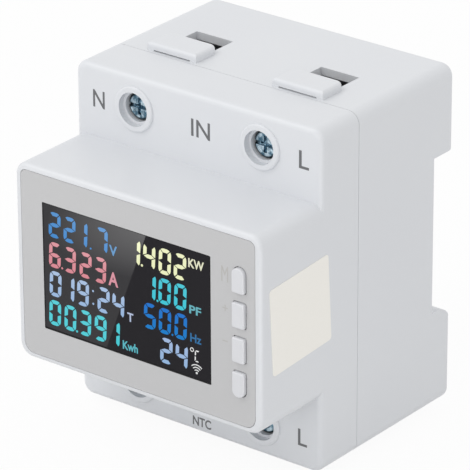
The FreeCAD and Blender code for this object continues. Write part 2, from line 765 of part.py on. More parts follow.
def make_tact_switches():
    """Four switch bodies, each with the well that its plunger slides in."""
    body = new_body("tact_switches")
    half = f"{d('switch_side')} / 2"
    shells = [(around(across, half), around(up, half)) for across, up in KEY_CENTRES]
    prisms(body, "shells", "Y", shells, (SWITCH_FRONT, DISPLAY_BOARD_FRONT))
    well = f"{d('plunger_width')} + 2 * {d('shank_gap')}"
    deep = (f"{SWITCH_FRONT} - {PAST}", f"{DISPLAY_BOARD_FRONT} - {d('switch_base')}")
    discs(body, "wells", "Y", KEY_CENTRES, well, deep, True)
    return body


# Terminal screws and rising cages
BUSBAR_FRONT = behind(d("busbar_front"))
BUSBAR_BACK = f"({BUSBAR_FRONT} + {d('busbar_thick')})"


def make_terminal_screw(name, side, end):
    """Pan head screw whose tip bears on the busbar and whose thread lifts the cage."""
    body = new_body(f"screw_{name}")
    place = terminal_place(side, end)
    disc(body, "head", "Y", place, d("head_width"), (HEAD_FRONT, HEAD_BACK))
    front = amount(HEAD_FRONT)
    round_edges(body, "head_round", f"{d('head_thick')} / 4", lambda edge: lies_at(edge, "Y", front))
    shank_front = f"{HEAD_BACK} - {d('head_thick')} / 2"
    disc(body, "shank", "Y", place, d("shank_width"), (shank_front, BUSBAR_FRONT))
    arm, reach = f"{d('cross_arm')} / 2", f"{d('cross_width')} / 2"
    deep = (f"{HEAD_FRONT} - {PAST}", f"{HEAD_FRONT} + {d('cross_depth')}")
    prism(body, "cross_upright", "Y", around(place[0], arm), around(place[1], reach), deep, True)
    prism(body, "cross_level", "Y", around(place[0], reach), around(place[1], arm), deep, True)
    slot = (f"{HEAD_FRONT} - {PAST}", f"{HEAD_FRONT} + {d('slot_depth')}")
    across = around(place[0], f"{d('head_width')} / 2")
    prism(body, "slot", "Y", across, around(place[1], f"{d('slot_width')} / 2"), slot, True)
    return body


CAGE_FRONT = f"({BUSBAR_FRONT} - {d('busbar_gap')} - {d('cage_front')})"
CAGE_INSIDE = f"({CAGE_FRONT} + {d('cage_front')})"
CAGE_INSIDE_BACK = f"({BUSBAR_BACK} + {d('wire_gap')})"
CAGE_BACK = f"({CAGE_INSIDE_BACK} + {d('cage_rear')})"


def make_terminal_cage(name, side, end):
    """Rectangular steel cage, open towards the wire entry, with the screw's thread in its front wall."""
    body = new_body(f"cage_{name}")
    place = terminal_place(side, end)
    across = around(place[0], f"{d('cage_width')} / 2")
    heights = around(place[1], f"{d('cage_height')} / 2")
    prism(body, "block", "Z", across, (CAGE_FRONT, CAGE_BACK), heights)
    inside = shrink(across, d("cage_side"))
    prism(body, "wire_way", "Z", inside, (CAGE_INSIDE, CAGE_INSIDE_BACK), grow(heights, PAST), True)
    thread = f"{d('shank_width')} + 2 * {d('shank_gap')}"
    disc(body, "thread", "Y", place, thread, grow((CAGE_FRONT, CAGE_INSIDE), PAST), True)
    return body


# Current path: a straight neutral bar, and line bars with a relay and the measuring shunt between them
def make_busbar(label, side, heights):
    body = new_body(label)
    across = around(f"{side} * {d('terminal_side')}", f"{d('busbar_width')} / 2")
    prism(body, "bar", "Y", across, heights, (BUSBAR_FRONT, BUSBAR_BACK))
    return body


BAR_TOP = f"({d('case_above')} - {d('busbar_inset')})"
BAR_BOTTOM = f"(-{d('case_below')} + {d('busbar_inset')})"
SHUNT_UP = around(d("shunt_rise"), f"{d('shunt_length')} / 2")
BLADE_UP = (SHUNT_UP[1], f"{SHUNT_UP[1]} + {d('blade_length')}")
LINE_IN_BOTTOM = f"({BLADE_UP[1]} + {d('blade_gap')})"


def make_current_shunt():
    body = new_body("current_shunt")
    across = around(d("terminal_side"), f"{d('busbar_width')} / 2")
    middle = f"({BUSBAR_FRONT} + {BUSBAR_BACK}) / 2"
    prism(body, "strip", "Y", across, SHUNT_UP, around(middle, f"{d('shunt_thick')} / 2"))
    return body


def make_sense_pins():
    """Pins that carry the two sides of the shunt and the neutral to the main board."""
    body = new_body("sense_pins")
    above, below = f"{SHUNT_UP[1]} + {d('sense_pin_inset')}", f"{SHUNT_UP[0]} - {d('sense_pin_inset')}"
    taps = [(d("terminal_side"), above), (d("terminal_side"), below), (f"-{d('terminal_side')}", "0")]
    discs(body, "pins", "Y", taps, d("sense_pin_width"), (MAIN_BOARD_BACK, BUSBAR_FRONT))
    return body


# Latching relay that breaks the line between the incoming bar and the blade in front of the shunt
RELAY_SIDE = f"({INNER_HALF} - {d('relay_end_gap')} - {d('relay_width')} / 2)"
RELAY_BACK = f"(-{d('wall')})"
RELAY_FRONT = f"({BUSBAR_BACK} + {d('relay_bar_gap')})"
POST_BACK = f"({BUSBAR_BACK} + {d('post_reach')})"
POST_PLACES = [(d("terminal_side"), f"{LINE_IN_BOTTOM} + {d('post_inset')}"),
               (d("terminal_side"), f"({BLADE_UP[0]} + {BLADE_UP[1]}) / 2")]


def make_relay_case():
    """Box on the base's floor, hollow, with two holes in front for the contact posts."""
    body = new_body("relay_case")
    across = around(RELAY_SIDE, f"{d('relay_width')} / 2")
    up = around(d("relay_rise"), f"{d('relay_height')} / 2")
    prism(body, "box", "Y", across, up, (RELAY_FRONT, RELAY_BACK))
    wall = d("relay_wall")
    room = shrink((RELAY_FRONT, RELAY_BACK), wall)
    prism(body, "room", "Y", shrink(across, wall), shrink(up, wall), room, True)
    hole = f"{d('post_width')} + 2 * {d('fit_gap')}"
    through = (f"{RELAY_FRONT} - {PAST}", f"{RELAY_FRONT} + {wall} + {PAST}")
    discs(body, "post_holes", "Y", POST_PLACES, hole, through, True)
    return body


def make_relay_coil():
    body = new_body("relay_coil")
    across = around(RELAY_SIDE, f"{d('coil_width')} / 2")
    up = around(d("relay_rise"), f"{d('coil_height')} / 2")
    back = f"({RELAY_BACK} - {d('relay_wall')})"
    prism(body, "coil", "Y", across, up, (f"{POST_BACK} + {d('coil_post_gap')}", back))
    return body


def make_relay_posts():
    body = new_body("relay_posts")
    discs(body, "posts", "Y", POST_PLACES, d("post_width"), (BUSBAR_BACK, POST_BACK))
    return body


# Components that stand on the back of the main board
def make_box_part(label, centre, width, height, tall):
    body = new_body(label)
    span = (MAIN_BOARD_BACK, f"{MAIN_BOARD_BACK} + {tall}")
    prism(body, "case", "Y", around(centre[0], f"{width} / 2"), around(centre[1], f"{height} / 2"), span)
    return body


def make_can_part(label, centre, width, tall):
    body = new_body(label)
    back = f"{MAIN_BOARD_BACK} + {tall}"
    disc(body, "can", "Y", centre, width, (MAIN_BOARD_BACK, back))
    end = amount(back)
    round_edges(body, "can_round", d("can_edge"), lambda edge: lies_at(edge, "Y", end))
    return body


def make_radio_module():
    """Radio board with its shield can, on the back of the display board."""
    body = new_body("radio_module")
    carrier_back = f"({DISPLAY_BOARD_BACK} + {d('radio_board')})"
    across = around(d("radio_side"), f"{d('radio_width')} / 2")
    up = both(f"{d('radio_height')} / 2")
    prism(body, "carrier", "Y", across, up, (DISPLAY_BOARD_BACK, carrier_back))
    across = around(d("radio_side"), f"{d('radio_can_width')} / 2")
    up = around(d("radio_can_rise"), f"{d('radio_can_height')} / 2")
    can = (f"{carrier_back} - {d('radio_board')} / 2", f"{carrier_back} + {d('radio_can_thick')}")
    prism(body, "shield", "Y", across, up, can)
    return body


def make_board_header():
    """Row of square pins between the two boards, held by an insulating strip at each."""
    body = new_body("board_header")
    count = int(amount(d("header_pins")))
    strip = around(d("header_side"), f"{count} * {d('header_pitch')} / 2")
    half = both(f"{d('header_pitch')} / 2")
    thick = d("header_strip")
    prism(body, "front_strip", "Y", strip, half, (DISPLAY_BOARD_BACK, f"{DISPLAY_BOARD_BACK} + {thick}"))
    prism(body, "rear_strip", "Y", strip, half, (f"{MAIN_BOARD_FRONT} - {thick}", MAIN_BOARD_FRONT))
    centres = [f"{d('header_side')} + {i - (count - 1) / 2} * {d('header_pitch')}" for i in range(count)]
    half = f"{d('pin_width')} / 2"
    pins = [(around(centre, half), both(half)) for centre in centres]
    span = (f"{DISPLAY_BOARD_BACK} + {thick} / 2", f"{MAIN_BOARD_FRONT} - {thick} / 2")
    prisms(body, "pins", "Y", pins, span)
    return body


# Socket for the temperature probe, soldered to the main board's tail, its mouth in the case's bottom
def make_ntc_socket():
    body = new_body("ntc_socket")
    mouth, foot = d("socket_recess"), f"({d('socket_recess')} + {d('socket_height')})"
    prism(body, "shell", "Z", SOCKET_ACROSS, SOCKET_ALONG, from_end(-1, mouth, foot))
    inside = shrink(SOCKET_ACROSS, d("socket_wall"))
    along = shrink(SOCKET_ALONG, d("socket_wall"))
    well = from_end(-1, f"{mouth} - {PAST}", f"{foot} - {d('socket_base')}")
    prism(body, "well", "Z", inside, along, well, True)
    half = f"{d('pin_width')} / 2"
    middle = around(f"({SOCKET_ALONG[0]} + {SOCKET_ALONG[1]}) / 2", half)
    centres = [f"{d('socket_side')} + {side} * {d('pin_pitch')} / 2" for side in (-1, 1)]
    heights = from_end(-1, f"{mouth} + {d('pin_recess')}", f"{foot} - {d('socket_base')} / 2")
    prisms(body, "pins", "Z", [(around(centre, half), middle) for centre in centres], heights)
    return body


# Rear base: case back with terminal chambers, hoods, wire entries, rail hooks and the clip's guide
CLIP_HALF = f"({d('clip_width')} / 2 + {d('clip_gap')})"
CLIP_FRONT = d("clip_gap")
CLIP_BACK = f"({CLIP_FRONT} + {d('clip_thick')})"
PEG_BOTTOM = f"(-{d('case_below')} + {d('peg_rise')})"
PEG_TOP = f"({PEG_BOTTOM} + {d('peg_thick')})"


def add_chambers(body, name, end):
    """Two closed chambers round one end's cages, each with a slot for its busbar."""
    inner = [around(centre, f"{d('cage_width')} / 2 + {d('chamber_gap')}") for centre in TERMINAL_CENTRES]
    outer = [grow(across, d("chamber_wall")) for across in inner]
    far = f"{d('chamber_depth')} + {d('chamber_wall')}"
    fore = (CHAMBER_FRONT, f"{BASE_FRONT} + {PAST}")
    heights = from_end(end, d("chamber_top"), far)
    prisms(body, f"{name}_chambers_fore", "Z", [(across, fore) for across in outer], heights)
    aft = (BASE_FRONT, f"-{d('wall')} / 2")
    heights = from_end(end, f"{d('wall')} / 2", far)
    prisms(body, f"{name}_chambers_aft", "Z", [(across, aft) for across in outer], heights)
    hollow = (f"{CHAMBER_FRONT} + {d('chamber_wall')}", f"-{d('wall')}")
    heights = from_end(end, d("wall"), d("chamber_depth"))
    prisms(body, f"{name}_chamber_hollows", "Z", [(across, hollow) for across in inner], heights, True)
    slots = [around(centre, f"{d('busbar_width')} / 2 + {d('fit_gap')}") for centre in TERMINAL_CENTRES]
    along = grow((BUSBAR_FRONT, BUSBAR_BACK), d("fit_gap"))
    heights = from_end(end, f"{d('chamber_depth')} - {PAST}", f"{far} + {PAST}")
    prisms(body, f"{name}_busbar_slots", "Z", [(across, along) for across in slots], heights, True)


def add_hoods(body, name, end):
    """Two raised hoods, hollow and open in front by a slit, over windows that the cover's nubs snap into."""
    span = (behind(d("hood_start")), behind(f"{d('hood_start')} + {d('hood_depth')}"))
    rounded = (None, d("hood_corner"))
    hoods = [(around(centre, f"{d('hood_length')} / 2"), span, *rounded) for centre in HOOD_CENTRES]
    heights = from_end(end, f"-{d('hood_height')}", f"{d('wall')} / 2")
    prisms(body, f"{name}_hoods", "Z", hoods, heights)
    crest = amount(heights[1] if end > 0 else heights[0])
    round_edges(body, f"{name}_hood_round", d("hood_round"), lambda edge: lies_at(edge, "Z", crest))
    windows = [around(centre, f"{d('tongue_width')} / 2 + {d('tongue_gap')}") for centre in HOOD_CENTRES]
    room = shrink(span, d("hood_skin"))
    heights = from_end(end, f"-{d('hood_height')} + {d('hood_skin')}", f"{d('wall')} + {PAST}")
    prisms(body, f"{name}_hood_pockets", "Z", [(across, room) for across in windows], heights, True)
    slit = (f"{span[0]} - {PAST}", f"{span[0]} + {d('hood_skin')} + {PAST}")
    slits = [(across, slit) for across in windows]
    prisms(body, f"{name}_hood_slits", "Z", slits, from_end(end, f"-{d('hood_slit')}", "0"), True)
    along = (behind(d("entry_front")), behind(d("entry_back")))
    entries = [(around(centre, f"{d('entry_width')} / 2"), along) for centre in ENTRY_CENTRES]
    prisms(body, f"{name}_entries", "Z", entries, from_end(end, f"-{PAST}", f"{d('wall')} + {PAST}"), True)


def add_rail_hooks(body):
    """Two hooks under the channel's upper end that reach behind the rail's upper edge."""
    seat = f"({d('rail_half')} + {d('rail_gap')})"
    back = f"({d('flange_slot')} + {d('hook_thick')})"
    hooks = [around(f"{side} * {d('hook_side')}", f"{d('hook_width')} / 2") for side in (-1, 1)]
    root = (f"-{d('wall')} / 2", back)
    heights = (seat, f"{d('channel_above')} + {PAST}")
    prisms(body, "hooks", "Z", [(across, root) for across in hooks], heights)
    lip = (d("flange_slot"), back)
    heights = (f"{seat} - {d('hook_reach')}", f"{seat} + {PAST}")
    prisms(body, "hook_lips", "Z", [(across, lip) for across in hooks], heights)
    low, rear = amount(heights[0]), amount(back)
    bevel_edges(body, "hook_lead", d("hook_lead"),
                lambda edge: lies_at(edge, "Z", low) and lies_at(edge, "Y", rear))


def add_clip_guide(body):
    """Groove for the rail clip, the two keepers behind its edges and the peg that its spring stands on."""
    guide = (f"-{d('case_below')} - {PAST}", f"-{d('channel_below')} + {PAST}")
    prism(body, "clip_groove", "Z", both(CLIP_HALF), ("0", f"{d('recess_depth')} + {PAST}"), guide, True)
    back = (f"{CLIP_BACK} + {d('clip_gap')}", d("recess_depth"))
    inner, outer = f"({d('clip_spine_width')} / 2 + {d('clip_gap')})", f"({CLIP_HALF} + {PAST})"
    keepers = [((f"-{outer}", f"-{inner}"), back), ((inner, outer), back)]
    keep = (f"-{d('case_below')} + {d('rear_corner')}", f"-{d('channel_below')} - {d('lower_hook_corner')}")
    prisms(body, "clip_keepers", "Z", keepers, keep)
    peg = both(f"{d('spring_room')} / 2 - {d('clip_gap')}")
    along = (f"-{d('wall')} / 2", f"{CLIP_BACK} - 2 * {d('clip_gap')}")
    prism(body, "spring_peg", "Z", peg, along, (PEG_BOTTOM, PEG_TOP))


def make_rear_base():
    body = new_body("rear_base")
    corner = d("case_corner")
    span = (BASE_FRONT, d("recess_depth"))
    prism(body, "case_back", "Y", both(HALF_WIDTH), CASE_HEIGHTS, span, False, corner, corner)
    rear = amount(d("recess_depth"))
    round_edges(body, "case_back_round", d("rear_round"), lambda edge: lies_at(edge, "Y", rear))
    channel = (f"-{d('channel_below')}", d("channel_above"))
    along = ("0", f"{d('recess_depth')} + {PAST}")
    prism(body, "rail_channel", "X", along, channel, both(f"{HALF_WIDTH} + {PAST}"), True)
    back = d("recess_depth")
    round_long_corner(body, "upper_hook_corner", back, channel[1], d("upper_hook_corner"), 1)
    round_long_corner(body, "lower_hook_corner", back, channel[0], d("lower_hook_corner"), -1)
    round_long_corner(body, "foot_corner", back, CASE_HEIGHTS[0], d("rear_corner"), 1)

    hollow = (f"{BASE_FRONT} - {PAST}", f"-{d('wall')}")
    prism(body, "hollow", "Y", both(INNER_HALF), INNER_HEIGHTS, hollow, True)
    core = (f"-{d('wall')} - {PAST}", f"{d('recess_depth')} - {d('wall')}")
    upper = (f"{d('channel_above')} + {d('wall')}", INNER_HEIGHTS[1])
    lower = (INNER_HEIGHTS[0], f"-{d('channel_below')} - {d('lower_hook_corner')}")
    beside_clip = f"({CLIP_HALF} + {d('wall')})"
    cores = [(both(INNER_HALF), upper), ((f"-{INNER_HALF}", f"-{beside_clip}"), lower),
             ((beside_clip, INNER_HALF), lower)]
    prisms(body, "cores", "Y", cores, core, True)

    across, up = both(f"{INNER_HALF} - {d('fit_gap')}"), shrink(INNER_HEIGHTS, d("fit_gap"))
    lip = (f"{BASE_FRONT} - {d('lip_length')}", f"{BASE_FRONT} + {d('wall')}")
    prism(body, "lip", "Y", across, up, lip)
    across, up = shrink(across, d("lip_wall")), shrink(up, d("lip_wall"))
    prism(body, "lip_hollow", "Y", across, up, grow(lip, PAST), True)

    for name, end in ENDS:
        add_chambers(body, name, end)
    passage = grow((CHAMBER_FRONT, f"{CHAMBER_FRONT} + {d('chamber_wall')}"), PAST)
    discs(body, "screw_passages", "Y", TERMINAL_PLACES, d("shank_pass"), passage, True)
    for name, end in ENDS:
        add_hoods(body, name, end)
    add_rail_hooks(body)
    add_clip_guide(body)
    return body


# Rail clip: a slide that grips the rail's lower edge, kept up by its spring
SPRING_TOP = f"({PEG_TOP} + {d('spring_length')})"


def make_rail_clip():
    body = new_body("rail_clip")
    bottom = f"(-{d('case_below')} - {d('clip_tab')})"
    grip = f"(-{d('rail_half')} - {d('rail_gap')})"
    top = f"({grip} + {d('clip_reach')})"
    across = both(f"{d('clip_width')} / 2")
    jaw_front = d("flange_slot")
    prism(body, "slide", "Z", across, (CLIP_FRONT, CLIP_BACK), (bottom, grip))
    prism(body, "jaw", "Z", across, (jaw_front, CLIP_BACK), (f"{grip} - {PAST}", top))
    tip, back = amount(top), amount(CLIP_BACK)
    bevel_edges(body, "jaw_lead", d("jaw_lead"),
                lambda edge: lies_at(edge, "Z", tip) and lies_at(edge, "Y", back))
    spine = both(f"{d('clip_spine_width')} / 2")
    spine_back = f"({CLIP_BACK} + {d('clip_spine')})"
    prism(body, "spine", "Z", spine, (f"{CLIP_BACK} - {PAST}", spine_back), (bottom, grip))
    window = both(f"{d('spring_room')} / 2")
    through = (f"{CLIP_FRONT} - {PAST}", f"{CLIP_BACK} - {d('clip_gap')}")
    prism(body, "spring_window", "Z", window, through, (PEG_BOTTOM, SPRING_TOP), True)
    notch = both(f"{d('notch_width')} / 2")
    blade = (f"{CLIP_BACK} + {d('clip_gap')}", f"{spine_back} + {PAST}")
    heights = (f"{bottom} + {d('notch_skin')}", f"{bottom} + {d('notch_skin')} + {d('notch_height')}")
    prism(body, "blade_notch", "Z", notch, blade, heights, True)
    return body


def make_clip_spring():
    """Flat meander spring: level runs joined by half round bends, one strip of even width."""
    turns = int(amount(d("spring_turns")))
    strip = amount(d("spring_strip"))
    length = amount(d("spring_length")) - strip
    reach = amount(d("spring_width")) / 2
    pitch = length / turns
    bend = pitch / 2
    bottom = amount(PEG_TOP) + strip / 2
    edges = []
    for i in range(turns + 1):
        height = bottom + i * pitch
        side = 1 if i % 2 == 0 else -1
        run = reach - bend - strip / 2
        start, finish = FreeCAD.Vector(-side * run, 0, height), FreeCAD.Vector(side * run, 0, height)
        edges.append(Part.LineSegment(start, finish).toShape())
        if i < turns:
            peak = FreeCAD.Vector(side * (run + bend), 0, height + bend)
            after = FreeCAD.Vector(side * run, 0, height + pitch)
            edges.append(Part.Arc(finish, peak, after).toShape())
    outline = Part.Wire(edges).makeOffset2D(strip / 2, 0, False, False, False)
    depth = amount(d("spring_depth"))
    solid = Part.Face(outline).extrude(FreeCAD.Vector(0, depth, 0))
    spring = doc.addObject("Part::Feature", "clip_spring")
    spring.Label = "clip_spring"
    spring.Shape = solid
    front = (amount(CLIP_FRONT) + amount(CLIP_BACK)) / 2 - depth / 2
    spring.Placement = FreeCAD.Placement(FreeCAD.Vector(0, front, 0), FreeCAD.Rotation())
    return spring


# Blank sticker on the right side, put on slightly turned
def make_side_label():
    body = new_body("side_label")
    half = f"{d('label_side')} / 2"
    corner = d("label_corner")
    prism(body, "sheet", "X", both(half), both(half), ("0", d("label_thick")), False, corner, corner)
    body.setExpression(".Placement.Base.x", HALF_WIDTH)
    body.setExpression(".Placement.Base.y", f"-{d('label_back')}")
    body.setExpression(".Placement.Base.z", d("label_rise"))
    body.Placement.Rotation = FreeCAD.Rotation(FreeCAD.Vector(1, 0, 0), amount(d("label_turn")))
    return body


pieces = [
    make_front_cover(),
    make_rear_base(),
    make_face_plate(),
    make_display_window(),
    make_lcd_panel(),
    make_lcd_backlight(),
    make_display_board(),
    make_main_board(),
    make_board_screws("display_screws", DISPLAY_BOSS, DISPLAY_BOARD_FRONT, DISPLAY_BOARD_BACK),
    make_board_screws("board_screws", MAIN_BOSS, MAIN_BOARD_FRONT, MAIN_BOARD_BACK),
    make_tact_switches(),
    make_radio_module(),
    make_board_header(),
    make_busbar("neutral_busbar", -1, (BAR_BOTTOM, BAR_TOP)),
    make_busbar("line_busbar_in", 1, (LINE_IN_BOTTOM, BAR_TOP)),
    make_busbar("relay_blade", 1, BLADE_UP),
    make_busbar("line_busbar_out", 1, (BAR_BOTTOM, SHUNT_UP[0])),
    make_current_shunt(),
    make_sense_pins(),
    make_relay_case(),
    make_relay_coil(),
    make_relay_posts(),
    make_ntc_socket(),
    make_rail_clip(),
    make_clip_spring(),
    make_side_label(),
]
pieces += [make_key(*key) for key in KEYS]
pieces += [make_plunger(name, position) for name, position, _ in KEYS]
pieces += [make_terminal_screw(*terminal) for terminal in TERMINALS]
pieces += [make_terminal_cage(*terminal) for terminal in TERMINALS]
pieces += [
    make_box_part("supply_transformer", ("0", d("transformer_rise")),
                  d("transformer_width"), d("transformer_height"), d("transformer_tall")),
    make_can_part("filter_capacitor", (d("capacitor_side"), d("capacitor_rise")),
                  d("capacitor_width"), d("capacitor_tall")),
    make_can_part("input_fuse", (d("fuse_side"), d("fuse_rise")), d("fuse_width"), d("fuse_tall")),
    make_box_part("varistor", (d("varistor_side"), d("varistor_rise")),
                  d("varistor_width"), d("varistor_height"), d("varistor_tall")),
    make_box_part("meter_chip", (d("chip_side"), d("chip_rise")),
                  d("chip_width"), d("chip_height"), d("chip_tall")),
]

for piece in pieces:
    piece.recompute()
for item in doc.Objects:
    if "Invalid" in item.State or "Error" in item.State:
        raise RuntimeError(f"{item.Label} failed to build")
for piece in pieces:
    if piece.Shape.isNull() or not piece.Shape.isValid():
        raise RuntimeError(f"{piece.Label} has no valid shape")

os.makedirs("parts", exist_ok=True)
for piece in pieces:
    piece.Shape.exportStep(os.path.join("parts", f"{piece.Label}.step"))
    box = piece.Shape.BoundBox
    print(f"{piece.Label}: {len(piece.Shape.Solids)} solids, {piece.Shape.Volume:.1f} mm3, "
          f"X {box.XMin:.2f} to {box.XMax:.2f}, Y {box.YMin:.2f} to {box.YMax:.2f}, "
          f"Z {box.ZMin:.2f} to {box.ZMax:.2f}")
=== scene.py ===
"""Energy meter for a standard rail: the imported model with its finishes, its display and its printed marks."""
import math

import bpy
import numpy as np
from mathutils import Matrix, Vector


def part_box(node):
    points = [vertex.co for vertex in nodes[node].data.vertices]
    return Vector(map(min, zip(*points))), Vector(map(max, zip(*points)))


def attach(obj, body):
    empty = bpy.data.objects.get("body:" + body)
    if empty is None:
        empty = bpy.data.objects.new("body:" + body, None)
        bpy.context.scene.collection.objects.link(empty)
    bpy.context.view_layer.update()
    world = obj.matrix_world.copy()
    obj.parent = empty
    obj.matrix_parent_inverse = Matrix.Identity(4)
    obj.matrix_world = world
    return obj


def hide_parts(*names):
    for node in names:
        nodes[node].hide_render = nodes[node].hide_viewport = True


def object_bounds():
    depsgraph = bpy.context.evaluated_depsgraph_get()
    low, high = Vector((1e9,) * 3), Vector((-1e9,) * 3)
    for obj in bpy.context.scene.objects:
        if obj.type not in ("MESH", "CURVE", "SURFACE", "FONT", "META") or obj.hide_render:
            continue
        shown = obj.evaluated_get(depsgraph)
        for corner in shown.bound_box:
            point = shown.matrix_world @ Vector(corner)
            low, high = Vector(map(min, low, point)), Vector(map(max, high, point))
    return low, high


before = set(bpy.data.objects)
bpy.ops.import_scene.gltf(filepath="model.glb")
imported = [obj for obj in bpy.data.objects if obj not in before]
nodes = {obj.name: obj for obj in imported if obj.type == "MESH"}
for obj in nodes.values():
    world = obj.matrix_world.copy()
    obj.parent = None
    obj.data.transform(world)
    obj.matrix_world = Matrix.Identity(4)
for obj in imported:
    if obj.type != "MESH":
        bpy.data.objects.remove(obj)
cad_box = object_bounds()
scene = bpy.context.scene
MM = 0.001


# Camera: a long lens in front, to the right and above, where the case's own edges put it.
# Plain perspective, with no shift and no depth of field.
lens = bpy.data.cameras.new("product_lens")
lens.lens = 326.9
lens.sensor_width = 36.0
lens.clip_start = 0.05
lens.clip_end = 20.0
camera = bpy.data.objects.new("product_camera", lens)
to_the_right = (0.78802067, 0.61563007, -0.00480002)
upwards = (-0.25090029, 0.32825847, 0.91065659)
to_the_lens = (0.56220322, -0.71641189, 0.41313622)
stand = Matrix((to_the_right, upwards, to_the_lens)).transposed().to_4x4()
stand.translation = (0.562281, -0.745895, 0.415815)
camera.matrix_world = stand
scene.collection.objects.link(camera)
scene.camera = camera
scene.view_settings.view_transform = "Standard"


# Light: a pale, even surround, one large soft lamp in front, to the left and above, which makes the
# top the brightest face, and a weak one low in front. Lens and gloss see the surround as white.
def linear(code):
    """Linear colour of an sRGB hex code: each channel over 12.92 in the toe, else to the power 2.4."""
    channels = np.array([int(code[i:i + 2], 16) for i in (1, 3, 5)]) / 255
    toe = channels / 12.92
    curve = ((channels + 0.055) / 1.055) ** 2.4
    return (*np.where(channels <= 0.04045, toe, curve).tolist(), 1.0)


def add(tree, kind, inputs=None, **settings):
    """Adds a node with its settings. Each input is a value, an sRGB hex code or the output that feeds it."""
    made = tree.nodes.new(kind)
    for name, value in settings.items():
        setattr(made, name, value)
    for name, value in (inputs or {}).items():
        if isinstance(value, bpy.types.NodeSocket):
            tree.links.new(value, made.inputs[name])
        else:
            made.inputs[name].default_value = linear(value) if isinstance(value, str) else value
    return made


def bare_tree(holder):
    """Empties the node tree of a world or a material and returns it."""
    holder.use_nodes = True
    holder.node_tree.nodes.clear()
    return holder.node_tree


def seen_directly(tree):
    """1 for rays from the lens, from gloss and through glass, 0 for the rays that carry light."""
    path = add(tree, "ShaderNodeLightPath").outputs
    seen = path["Is Camera Ray"]
    for kind in ("Is Glossy Ray", "Is Transmission Ray"):
        seen = add(tree, "ShaderNodeMath", {0: seen, 1: path[kind]}, operation="MAXIMUM").outputs[0]
    return seen


surround = bpy.data.worlds.new("pale_surround")
tree = bare_tree(surround)
strength = add(tree, "ShaderNodeMapRange", {"Value": seen_directly(tree), "To Min": 0.85, "To Max": 1.0})
glow = add(tree, "ShaderNodeBackground", {"Color": "#ffffff", "Strength": strength.outputs[0]})
add(tree, "ShaderNodeOutputWorld", {"Surface": glow.outputs[0]})
scene.world = surround


def soft_lamp(name, across, power, place):
    """Round lamp of a width in metres and a power in watts, which faces the meter."""
    lamp = bpy.data.lights.new(name, "AREA")
    lamp.shape = "DISK"
    lamp.size = across
    lamp.energy = power
    holder = bpy.data.objects.new(name, lamp)
    turn = Vector(place).to_track_quat("Z", "Y").to_matrix().to_4x4()
    holder.matrix_world = Matrix.Translation(place) @ turn
    scene.collection.objects.link(holder)


soft_lamp("softbox", 0.9, 4.6, (-0.62, -0.8, 1.25))
soft_lamp("low_fill", 0.6, 1.15, (0.12, -0.9, 0.02))


# Floor: one wide white painted sheet, 0.05 mm below the meter. It keeps a part of the meter's shadow,
# and otherwise shows white to the lens and to gloss.
def plain_sheet(name, corners):
    """Flat sheet through its corners, in mm, in their order."""
    sheet = bpy.data.meshes.new(name)
    places = [[value * MM for value in corner] for corner in corners]
    sheet.from_pydata(places, [], [list(range(len(corners)))])
    piece = bpy.data.objects.new(name, sheet)
    scene.collection.objects.link(piece)
    return piece


floor_gap, floor_reach, self_lit = 0.05, 4000, 0.94
floor_height = cad_box[0][2] / MM - floor_gap
floor = plain_sheet("studio_floor", [(x * floor_reach, y * floor_reach, floor_height)
                                     for x, y in ((-1, -1), (1, -1), (1, 1), (-1, 1))])
floor_paint = bpy.data.materials.new("white_studio_paint")
tree = bare_tree(floor_paint)
matt = add(tree, "ShaderNodeBsdfDiffuse", {"Color": (0.85, 0.85, 0.85, 1.0)})
shine = add(tree, "ShaderNodeEmission", {"Color": "#ffffff", "Strength": 1.0})
share = add(tree, "ShaderNodeMapRange", {"Value": seen_directly(tree), "To Min": 0.0, "To Max": self_lit})
mixed = add(tree, "ShaderNodeMixShader", {0: share.outputs[0], 1: matt.outputs[0], 2: shine.outputs[0]})
add(tree, "ShaderNodeOutputMaterial", {"Surface": mixed.outputs[0]})
floor.data.materials.append(floor_paint)


# Cards that only gloss sees. A black flag and a grey card with a bright spot lie on the floor in front
# and meet in a line: they are the two halves of the display's reflection. Two white cards light the
# rounded edges, one low at the front right, one high at the front left.
def card_paint(name, near, far, spot):
    """Glow round a spot: it is near up to 10 mm from the spot, and changes evenly to far at 38 mm."""
    paint = bpy.data.materials.new(name)
    tree = bare_tree(paint)
    place = add(tree, "ShaderNodeTexCoord").outputs["Object"]
    spot = [value * MM for value in spot]
    reach = add(tree, "ShaderNodeVectorMath", {0: place, 1: spot}, operation="DISTANCE").outputs["Value"]
    fall = add(tree, "ShaderNodeMapRange",
               {"Value": reach, "From Min": 10 * MM, "From Max": 38 * MM, "To Min": near, "To Max": far})
    glow = add(tree, "ShaderNodeEmission", {"Strength": fall.outputs[0]})
    add(tree, "ShaderNodeOutputMaterial", {"Surface": glow.outputs[0]})
    return paint


def card(name, corners, paint):
    """Sheet that only gloss sees."""
    piece = plain_sheet(name, corners)
    piece.visible_camera = piece.visible_diffuse = piece.visible_shadow = piece.visible_transmission = False
    piece.data.materials.append(paint)


